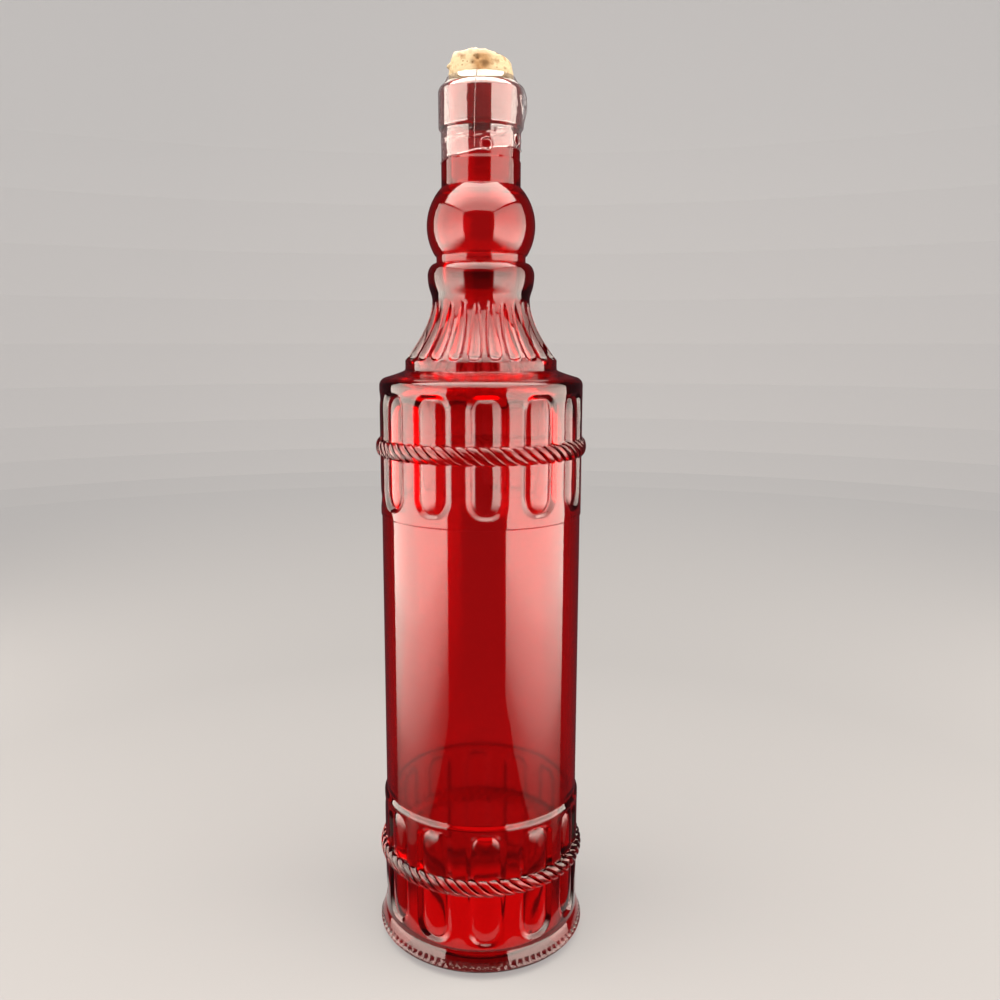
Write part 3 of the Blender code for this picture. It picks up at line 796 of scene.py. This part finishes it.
def weather_cork(place):
    if place.z < GLASS_TOP_Z + 0.0015:
        return place
    radius, angle = math.hypot(place.x, place.y), math.atan2(place.x, -place.y)
    outward = outward_at(angle)
    coarse = noise.noise(outward * COARSE + Vector((0.3, 0.7, 4.1)))
    fine = noise.noise(Vector((place.x, place.y, place.z)) * FINE)
    near_rim = max(0.0, min(1.0, (radius - RIM_START_RADIUS) / 0.0045))
    torn = max(0.0, (place.z - CORK_TORN_Z) / (CORK_TOP_Z - CORK_TORN_Z)) * near_rim
    moved = place.copy()
    moved.z -= torn * rim_drop(angle)
    if radius > SIDE_RADIUS:
        moved += outward * (0.00018 * coarse + 0.00010 * fine - 0.0010 * torn * rim_drop(angle) / 0.0025)
        moved.z += torn * 0.00035 * fine
        flake = math.exp(-((angle - FLAKE_TURN) / FLAKE_WIDTH) ** 2)
        moved += outward * FLAKE_SIZE * flake * math.exp(-((place.z - FLAKE_Z) / FLAKE_HEIGHT) ** 2)
    elif place.z > CORK_TOP_Z - 0.0002:
        moved.z += 0.00035 * noise.noise(place * TOP_WAVES) + 0.0002 * fine
    for turn, height, size, depth in CORK_PITS:
        centre = outward_at(math.radians(turn)) * CORK_RADIUS + Vector((0.0, 0.0, height))
        near = (place - centre).length / size
        moved -= outward * depth * max(0.0, 1.0 - near * near)
    return moved


edit(cork)
pick(cork, lambda c: c.z > GLASS_TOP_Z + 0.0010)
bpy.ops.mesh.subdivide(number_cuts=1)
reshape(cork, weather_cork)
smooth(cork, 55)
print("cork:", triangles(cork), "triangles")

# %% [markdown]
# ## The shrunk film
#
# A clear sleeve is shrunk over the lip and the upper neck. It is a thin skin that follows the
# glass a tenth of a millimetre off it, and stands up round the mouth as an open flange. It has a
# welded seam down the front, two vent holes with a melted bead round each, small wrinkles where
# it is drawn in under the lip, and a cut edge that runs a little askew. The skin is turned, every
# point is moved off the glass by the wrinkles' height, and a Solidify modifier gives it its
# thickness. Its columns crowd at the seam, so that the thin welded rib has points of its own.

# %% The film's skin
FILM_OFF, FILM_THICKNESS, FILM_COLUMNS, FILM_START_Z = 0.00014, 0.00009, 288, 0.2770
FILM_HOLE_RADIUS, FILM_TOP_Z, FILM_EDGE_Z, FILM_EDGE_SLANT = 0.01125, 0.3028, 0.2780, 0.00195
FILM_EDGE_LOW_TURN, FILM_LEVEL_TOP_Z = math.radians(-90), LIP_Z - 0.0008
NECK_SKIN_RADIUS, LIP_SKIN_RADIUS = SEALED_NECK_RADIUS + FILM_OFF, LIP_RADIUS + FILM_OFF

outline = [(NECK_SKIN_RADIUS, FILM_START_Z + 0.00030 * i) for i in range(28)]
outline += curve((NECK_SKIN_RADIUS, FILM_LEVEL_TOP_Z), (NECK_SKIN_RADIUS, LIP_Z - 0.0004),
                 (NECK_SKIN_RADIUS + 0.0001, LIP_Z - 0.0003), (NECK_SKIN_RADIUS + 0.0003, LIP_Z - 0.0001), 4)
outline += curve((LIP_SKIN_RADIUS - 0.0002, LIP_Z + 0.0004), (LIP_SKIN_RADIUS - 0.0001, LIP_Z + 0.0005),
                 (LIP_SKIN_RADIUS, LIP_Z + 0.0006), (LIP_SKIN_RADIUS, LIP_Z + 0.0010), 4)
outline += [(LIP_SKIN_RADIUS, LIP_Z + 0.0014 + 0.0009 * i) for i in range(1, 11)]
outline += arc(LIP_ROUND_CENTRE, LIP_ROUNDING + FILM_OFF, 0.0, 58.0, 8)
outline += curve(outline[-1], (outline[-1][0] - 0.0005, outline[-1][1] + 0.0003),
                 (FILM_HOLE_RADIUS + 0.0003, FILM_TOP_Z - 0.0008), (FILM_HOLE_RADIUS, FILM_TOP_Z), 6)
film = turn_outline("shrunk_film", outline, FILM_COLUMNS)
print("film:", triangles(film), "triangles before its thickness")


# %% Cut edge and wrinkles
# Turn from the front in degrees, height and radius of each vent hole.
VENTS = ((8.2, 0.2799, 0.00135), (64.0, 0.2824, 0.00150))
VENT_CALM = 0.0032
WRINKLE_Z, WRINKLE_SPAN = LIP_Z - 0.0026, 0.0022
STRETCH_TURN, STRETCH_Z, STRETCH_OFF = math.radians(86), 0.2945, 0.00090


def bell_shape(distance, width, power=2):
    """1 at no distance, and falling off softly at the width."""
    return math.exp(-abs(distance / width) ** power)


def wave(angle, often, start, height, close):
    """Smooth noise that runs round the neck and up it."""
    return noise.noise(Vector((angle * often, start, height * close)))


def film_edge(angle):
    """The height of the slanting cut edge."""
    slant = FILM_EDGE_SLANT * math.cos(angle - FILM_EDGE_LOW_TURN)
    uneven = noise.noise(Vector((2.5 * math.sin(angle), 2.5 * math.cos(angle), 0)))
    return FILM_EDGE_Z - slant + 0.00022 * uneven


def film_relief(angle, height):
    """How far the film stands off the glass at a place, beyond its even distance."""
    calm = 1.0
    for turn, level, size in VENTS:
        away = math.hypot((angle - math.radians(turn)) * SEALED_NECK_RADIUS, height - level)
        calm *= 1.0 - bell_shape(away, VENT_CALM, 4)
    under_lip = bell_shape(height - WRINKLE_Z, WRINKLE_SPAN, 4) * calm
    off = 0.00045 * under_lip * max(0.0, wave(angle, 4, 0.3, height, 620) + 0.10)
    off += 0.00022 * under_lip * max(0.0, wave(angle, 9, 7.3, height, 240))
    off += 0.00008 * calm * max(0.0, wave(angle, 2.2, 4.1, height, 260))
    off += 0.00030 * bell_shape(height - film_edge(angle), 0.00030)
    crumple = 1.0 + 0.9 * wave(angle, 9, 2.2, height, 450)
    stretch = bell_shape(angle - STRETCH_TURN, 0.34) * bell_shape(height - STRETCH_Z, 0.0050, 4)
    return off + STRETCH_OFF * crumple * stretch


# %% Seam, and the skin's thickness
SEAM_TURN, SEAM_SLANT, SEAM_CROWD, SEAM_HEIGHT = math.radians(-7.5), math.radians(1.7), 0.30, 0.00016


def shrink_film(place):
    """Moves a point of the even sleeve to where the shrunk film is."""
    angle, height = math.atan2(place.x, -place.y), place.z
    if height < FILM_LEVEL_TOP_Z:
        share = (FILM_LEVEL_TOP_Z - height) / (FILM_LEVEL_TOP_Z - FILM_START_Z)
        height = FILM_LEVEL_TOP_Z - share * (FILM_LEVEL_TOP_Z - film_edge(angle))
    beside = angle - SEAM_TURN
    seam = SEAM_HEIGHT if abs(beside) < 0.004 else 0.0
    angle = SEAM_TURN + beside * (1 - (1 - SEAM_CROWD) * bell_shape(beside, 0.22))
    radius = math.hypot(place.x, place.y) + film_relief(angle, height) + seam
    lean = max(-1.0, min(1.0, 0.5 - (GLASS_TOP_Z - height) / 0.011))
    angle += lean * SEAM_SLANT * bell_shape(beside, 0.5)
    return (radius * math.sin(angle), -radius * math.cos(angle), height)


reshape_all(film, shrink_film)
face_outwards(film)
skin = film.modifiers.new("skin", "SOLIDIFY")
skin.thickness, skin.offset = FILM_THICKNESS, 1.0
apply_modifiers(film)

# %% Vent holes and their melted beads
VENT_BEAD_RADIUS, VENT_BEAD_THICKNESS = 0.0020, 0.00032


def cut_film(operation, tool):
    """Takes a tool out of the film, or unites it with the film, and removes the tool."""
    work = film.modifiers.new("vent", "BOOLEAN")
    work.operation, work.object, work.solver = operation, tool, "EXACT"
    apply_modifiers(film)
    bpy.data.objects.remove(tool)


for turn, height, size in VENTS:
    outward, up = outward_at(math.radians(turn)), Vector((0, 0, height))
    sideways, facing = Vector((outward.y, -outward.x, 0.0)), (math.pi / 2, 0, math.radians(turn))
    punch = add_piece("vent_punch", "cylinder", vertices=40, radius=size, depth=0.004, rotation=facing,
                      location=outward * SEALED_NECK_RADIUS + up)
    cut_film("DIFFERENCE", punch)
    bead = add_piece("vent_bead", "torus", major_radius=VENT_BEAD_RADIUS, minor_radius=VENT_BEAD_THICKNESS,
                     major_segments=48, minor_segments=10, rotation=facing,
                     location=outward * (NECK_SKIN_RADIUS + 0.00010) + up)
    reshape_all(bead, lambda c: c - outward * (c.dot(sideways) ** 2 / (2 * SEALED_NECK_RADIUS)))
    cut_film("UNION", bead)
smooth(film, 40)
print("film:", triangles(film), "triangles")

# %% [markdown]
# ## Finishes
#
# A finish is a net of nodes. The helpers below keep one readable: each adds a node, fills its
# sockets with numbers or with other nodes' results, and gives back its own result. Patterns read
# Object coordinates, so they stay on a piece wherever it goes. All three finishes have fine
# relief, so that is a node group that is made once.

# %% Helpers for nodes
def set_socket(tree, socket, value):
    """Links a socket to another node's result, or gives it a value of its own."""
    if isinstance(value, bpy.types.NodeSocket):
        tree.links.new(value, socket)
    else:
        socket.default_value = value


def add_node(tree, kind, *values, **settings):
    """A shader node. Values fill its sockets in order, Capital_Names fill sockets by name.

    Other names are the node's settings, and they come first, because sockets can depend on them."""
    node = tree.nodes.new("ShaderNode" + kind)
    for name, value in settings.items():
        if name[0].islower():
            setattr(node, name, value)
        else:
            set_socket(tree, node.inputs[name.replace("_", " ")], value)
    for socket, value in zip(node.inputs, values):
        set_socket(tree, socket, value)
    return node


def where(tree):
    """A point's place on the piece, and that place's X, Y and Z."""
    place = add_node(tree, "TexCoord").outputs["Object"]
    return place, add_node(tree, "SeparateXYZ", place).outputs


def from_axis(tree, place):
    """How far a place is from the bottle's axis."""
    level = add_node(tree, "VectorMath", place, (1.0, 1.0, 0.0), operation="MULTIPLY").outputs["Vector"]
    return add_node(tree, "VectorMath", level, operation="LENGTH").outputs["Value"]


def calculate(tree, operation, first, second):
    return add_node(tree, "Math", first, second, operation=operation).outputs["Value"]


def multiply(tree, first, second):
    return calculate(tree, "MULTIPLY", first, second)


def map_range(tree, value, low, high, first=0.0, last=1.0):
    """Turns low to high into first to last, and stops at both ends."""
    return add_node(tree, "MapRange", value, low, high, first, last).outputs["Result"]


def follow_curve(tree, value, points, handle=None):
    """Passes a value from 0 to 1 through a curve."""
    node = add_node(tree, "FloatCurve", Value=value)
    line = node.mapping.curves[0].points
    line[0].location, line[1].location = points[0], points[-1]
    for x, y in points[1:-1]:
        line.new(x, y)
    for point in line:
        point.handle_type = handle or point.handle_type
    node.mapping.update()
    return node.outputs["Value"]


def add_ramp(tree, value, first, last, *between):
    """Turns a value into a colour; each stop is a place on the ramp and a colour."""
    node = add_node(tree, "ValToRGB", Fac=value)
    line = node.color_ramp.elements
    line[0].position, line[0].color = first
    line[1].position, line[1].color = last
    for position, colour in between:
        line.new(position).color = colour
    return node.outputs["Color"]


def lay_over(tree, share, colour, over, blend_type="MIX"):
    """Lays one colour over another; the share is how much of it shows."""
    return add_node(tree, "Mix", data_type="RGBA", blend_type=blend_type, Factor=share, A=colour,
                    B=over).outputs["Result"]


# %% Fine relief, and a new finish
BLACK, WHITE = (0.0, 0.0, 0.0, 1.0), (1.0, 1.0, 1.0, 1.0)


def relief_group():
    """Soft noise as a height, for surfaces that aren't quite even."""
    group = bpy.data.node_groups.new("fine_relief", "ShaderNodeTree")
    for name, value in (("Scale", 60.0), ("Detail", 2.0)):
        socket = group.interface.new_socket(name=name, in_out="INPUT", socket_type="NodeSocketFloat")
        socket.default_value = value
    group.interface.new_socket(name="Height", in_out="OUTPUT", socket_type="NodeSocketFloat")
    inputs = group.nodes.new("NodeGroupInput").outputs
    place = add_node(group, "TexCoord").outputs["Object"]
    texture = add_node(group, "TexNoise", Vector=place, Scale=inputs["Scale"], Detail=inputs["Detail"])
    group.links.new(texture.outputs["Fac"], group.nodes.new("NodeGroupOutput").inputs["Height"])
    return group


RELIEF = relief_group()


def new_material(name, **values):
    """A material, its nodes and its Principled BSDF, with values for that shader's sockets."""
    material = bpy.data.materials.new(name)
    material.use_nodes = True
    tree = material.node_tree
    shader = tree.nodes["Principled BSDF"]
    for socket, value in values.items():
        shader.inputs[socket.replace("_", " ")].default_value = value
    return material, tree, shader


def set_surface(tree, shader):
    tree.links.new(shader.outputs[0], tree.nodes["Material Output"].inputs["Surface"])


def add_bump(tree, shader, scale, detail, strength, distance):
    """Gives a surface fine relief, and returns the relief's height."""
    height = add_node(tree, "Group", node_tree=RELIEF, Scale=scale, Detail=detail).outputs["Height"]
    bump = add_node(tree, "Bump", Strength=strength, Distance=distance, Height=height)
    tree.links.new(bump.outputs["Normal"], shader.inputs["Normal"])
    return height


# %% [markdown]
# Ruby glass is red in its depth: every millimetre takes more green and blue out of the light. So
# the red comes from a Volume Absorption node, and thick and slanting stretches turn darker on
# their own. Pressing leaves the surface faintly wavy. The inside is a little uneven as well, so
# that the back wall shows only softly. One finish covers both sides of the wall: a curve gives,
# for each height, the radius that parts the inner from the outer surface.

# %% Ruby glass
GLASS_ABSORPTION, GLASS_HUE, INNER_ROUGHNESS = 900.0, (0.89, 0.0, 0.04, 1.0), 0.14
# Heights, and the radius there that parts the two surfaces.
PARTING = ((0.0, 0.0), (0.0048, 0.0), (0.0052, 0.0335), (0.1980, 0.0335), (0.2030, 0.0290),
           (0.2065, 0.0246), (0.2120, 0.0236), (0.2170, 0.0193), (0.2230, 0.0163), (0.2300, 0.0148),
           (0.2393, 0.0150), (0.2440, 0.0138), (0.2480, 0.0152), (0.2555, 0.0168), (0.2630, 0.0152),
           (0.2700, 0.0118), (0.3100, 0.0118))
PARTING_TOP, CURVE_SCALE = PARTING[-1][0], 20.0

ruby, tree, shader = new_material("ruby_glass", Base_Color=WHITE, IOR=1.52, Transmission_Weight=1.0)
absorption = add_node(tree, "VolumeAbsorption", Color=GLASS_HUE, Density=GLASS_ABSORPTION)
tree.links.new(absorption.outputs["Volume"], tree.nodes["Material Output"].inputs["Volume"])
place, parts = where(tree)
parting = follow_curve(tree, map_range(tree, parts["Z"], 0.0, PARTING_TOP),
                       [(z / PARTING_TOP, radius * CURVE_SCALE) for z, radius in PARTING], "VECTOR")
inner = calculate(tree, "LESS_THAN", multiply(tree, from_axis(tree, place), CURVE_SCALE),
                  parting)
tree.links.new(multiply(tree, inner, INNER_ROUGHNESS), shader.inputs["Roughness"])
add_bump(tree, shader, 45.0, 1.0, 0.10, 0.0006)

# %% [markdown]
# Cork is tan with dark pores, and this one has a brown patch in front. Inside the neck and at the
# torn rim it is paler: partly fresh cork, and partly painted light that brightens the cork seen
# through the red neck and the rim lit from above. Its top face is darker, as painted shade against
# that strong light from above.

# %% Natural cork
DARK_TAN, LIGHT_TAN, PORE = (0.125, 0.068, 0.026, 1), (0.305, 0.248, 0.150, 1), (0.085, 0.040, 0.014, 1)
BROWN, FRESH_AND_LIT, TOP_SHADE = (0.175, 0.082, 0.022, 1), (0.52, 0.43, 0.33, 1), (0.36, 0.32, 0.27, 1)
PATCH_PLACE = (0.0003, -0.0107, 0.3056)
natural, tree, shader = new_material("natural_cork", Roughness=0.82, Specular_IOR_Level=0.25)
place, parts = where(tree)
grain = add_bump(tree, shader, 420.0, 6.0, 0.6, 0.0004)
cells = add_node(tree, "TexVoronoi", Vector=place, Scale=620.0).outputs["Distance"]
colour = add_ramp(tree, grain, (0.30, DARK_TAN), (0.50, LIGHT_TAN))
pores = add_ramp(tree, cells, (0.09, WHITE), (0.21, BLACK))
colour = lay_over(tree, pores, colour, PORE)
away = add_node(tree, "VectorMath", place, PATCH_PLACE, operation="DISTANCE").outputs["Value"]
patch = map_range(tree, away, 0.0022, 0.0042, 0.75, 0.0)
colour = lay_over(tree, patch, colour, BROWN)
rise = map_range(tree, parts["Z"], CORK_BOTTOM_Z, CORK_TOP_Z)
# Paler inside the neck and at the rim: partly fresh cork, partly painted light.
fresh_and_lit = add_ramp(tree, rise, (0.50, (0.85, 0.85, 0.85, 1)), (0.60, BLACK), (0.88, BLACK),
                 (0.96, (0.60, 0.60, 0.60, 1)))
colour = lay_over(tree, fresh_and_lit, colour, FRESH_AND_LIT)
# Painted shade: the top face is darkened against the strong light from above.
top_face = map_range(tree, from_axis(tree, place), 0.0080, 0.0098, 1.0, 0.0)
colour = lay_over(tree, top_face, colour, TOP_SHADE, "MULTIPLY")
tree.links.new(colour, shader.inputs["Base Color"])

# %% [markdown]
# The film lets nearly all light through. Its faint relief breaks up what it mirrors.

# %% Clear film
clear, tree, shader = new_material("clear_film", Base_Color=WHITE, Roughness=0.02, IOR=1.58,
                                   Transmission_Weight=0.995)
add_bump(tree, shader, 260.0, 3.0, 0.12, 0.0004)

# %% Each piece gets its finish and its place in the part
for piece, finish, node, slot in ((glass, ruby, "bottle", "ruby_glass"),
                                  (cork, natural, "cork", "natural_cork"),
                                  (film, clear, "seal_band", "clear_film")):
    piece.data.materials.clear()
    piece.data.materials.append(finish)
    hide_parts(node)
    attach(piece, "root")
    print(piece.name, "stands for", node)

# %% [markdown]
# ## Floor and light
#
# The bottle stands on a pale floor that rises all round into a pale wall, without an edge. Glass
# shows mostly what it mirrors. So the light comes from soft panels: two tall ones beside the
# bottle draw the long bright stripes down the glass, one lies over it, and a small one hangs high
# behind it. The camera doesn't see them, but mirrored and bent rays do. Mirrored rays pass
# through the floor, but for the part near the foot, so that the stripes run down to the heel.
# The floor glows a little, most under the bottle, where the base lets that light up into the red.

# %% The floor
FLOOR_RADIUS, FLOOR_BEND, WALL_RADIUS, WALL_TOP = 1.1, 0.6, 1.7, 2.2
FLAG_TOP_Z, FLAG_RADIUS, FLAG_FRONT_Y, FLAG_BACK_Y, MIRRORED_RADIUS = 0.05, 0.13, -0.3, 0.08, 0.055
floor_outline = [(0.0, 0.0), (0.3, 0.0), (FLOOR_RADIUS, 0.0)]
floor_outline += arc((FLOOR_RADIUS, FLOOR_BEND), FLOOR_BEND, -80.0, 0.0, 8)
floor_outline += [(WALL_RADIUS, WALL_TOP)]
floor = turn_outline("studio_floor", floor_outline, 96)
face_outwards(floor, inside=True)
bpy.ops.object.shade_smooth()
pale, tree, shader = new_material("pale_floor", Emission_Color=(1.0, 0.985, 0.97, 1.0), Roughness=0.9,
                                  Specular_IOR_Level=0.0)
place, parts = where(tree)
away = add_node(tree, "VectorMath", place, operation="LENGTH").outputs["Value"]
set_socket(tree, shader.inputs["Base Color"], map_range(tree, away, 0.3, 1.9, 0.12, 0.42))
set_socket(tree, shader.inputs["Emission Strength"], map_range(tree, away, 0.026, 0.034, 1.5, 0.30))

# %% Which rays pass through the floor
way = add_node(tree, "LightPath").outputs
low = calculate(tree, "LESS_THAN", parts["Z"], FLAG_TOP_Z)
apart = calculate(tree, "GREATER_THAN", away, FLAG_RADIUS)
front = calculate(tree, "LESS_THAN", parts["Y"], FLAG_FRONT_Y)
beside = calculate(tree, "LESS_THAN", parts["Y"], FLAG_BACK_Y)
ring = multiply(tree, multiply(tree, low, apart), beside)
farther = calculate(tree, "GREATER_THAN", away, MIRRORED_RADIUS)
mirrored = multiply(tree, way["Is Reflection Ray"], farther)
passed = calculate(tree, "MAXIMUM", calculate(tree, "MAXIMUM", ring, front), mirrored)
share = multiply(tree, passed, way["Glossy Depth"])
nothing = add_node(tree, "BsdfTransparent").outputs["BSDF"]
set_surface(tree, add_node(tree, "MixShader", share, shader.outputs["BSDF"], nothing))
pale.cycles.emission_sampling = "NONE"
floor.data.materials.append(pale)

# %% The soft panels
PANEL_TINT, PANEL_LOW_Z, PANEL_HIGH_Z = (1.0, 0.88, 0.78, 1.0), -0.25, 0.80
# How bright a panel is from its low end to its high end.
PANEL_FALL = ((0.0, 0.03), (0.07, 0.11), (0.12, 0.32), (0.20, 0.70), (0.28, 1.0), (0.45, 0.80),
              (0.60, 0.58), (1.0, 0.45))
OVER_FRONT_Y, OVER_BOTTLE_Y = -0.45, -0.10


def add_panel(name, brightness, corners, above=1.0):
    """A glowing panel with four corners, bright on the side that faces the bottle.

    above is how much brighter it is straight over the bottle than in front of it."""
    panel = add_piece(name, "plane", size=1.0)
    for vertex, corner in zip(panel.data.vertices, (corners[0], corners[1], corners[3], corners[2])):
        vertex.co = corner
    panel.data.update()
    glow, tree, shader = new_material(name)
    tree.nodes.remove(shader)
    parts = where(tree)[1]
    fall = follow_curve(tree, map_range(tree, parts["Z"], PANEL_LOW_Z, PANEL_HIGH_Z), PANEL_FALL)
    over = map_range(tree, parts["Y"], OVER_FRONT_Y, OVER_BOTTLE_Y, 1.0, above)
    power = multiply(tree, over, multiply(tree, fall, brightness))
    lamp = add_node(tree, "Emission", Color=PANEL_TINT, Strength=power).outputs["Emission"]
    nothing = add_node(tree, "BsdfTransparent").outputs["BSDF"]
    behind = add_node(tree, "NewGeometry").outputs["Backfacing"]
    set_surface(tree, add_node(tree, "MixShader", behind, lamp, nothing))
    panel.data.materials.append(glow)
    panel.visible_camera = False
    face = panel.data.polygons[0]
    print(name, "faces the bottle" if face.normal.dot(-face.center) > 0 else "faces away")


add_panel("left_panel", 7.5, ((-0.486, -0.644, -0.23), (-0.530, 0.260, -0.24),
                              (-0.530, 0.260, 0.575), (-0.486, -0.644, 0.575)))
add_panel("right_panel", 7.5, ((0.614, 0.185, -0.280), (0.336, -0.646, -0.17),
                               (0.336, -0.646, 0.550), (0.614, 0.185, 0.640)))
add_panel("top_panel", 8.5, ((-0.50, -0.70, 0.615), (-0.525, 0.08, 0.615),
                             (0.575, 0.08, 0.672), (0.345, -0.70, 0.595)), above=2.5)
add_panel("high_panel", 4.0, ((-0.24, 0.28, 0.63), (-0.24, 0.90, 0.75),
                              (0.24, 0.90, 0.75), (0.24, 0.28, 0.63)))

# %% A faint rose light from all round, and how often light may bend
world = bpy.data.worlds.new("studio")
bpy.context.scene.world = world
world.use_nodes = True
background = world.node_tree.nodes["Background"]
background.inputs["Color"].default_value = (1.0, 0.35, 0.42, 1.0)
background.inputs["Strength"].default_value = 0.10
rays = bpy.context.scene.cycles
rays.max_bounces, rays.transmission_bounces, rays.glossy_bounces = 11, 10, 6
rays.transparent_max_bounces, rays.diffuse_bounces = 8, 2

# %% [markdown]
# ## The camera
#
# The camera stands close in front of the bottle, level with its bell, and looks down a little.

# %% Camera and picture
camera_data = bpy.data.cameras.new("camera")
camera_data.lens, camera_data.sensor_width, camera_data.shift_x = 33.66, 36.0, 0.019
camera_data.clip_start, camera_data.clip_end = 0.01, 20.0
camera = bpy.data.objects.new("camera", camera_data)
camera.location = (0.0, -0.328, 0.217)
camera.rotation_euler = (math.radians(90 - 9.58), 0.0, 0.0)
bpy.context.scene.collection.objects.link(camera)
bpy.context.scene.camera = camera
bpy.context.scene.view_settings.view_transform = "Standard"
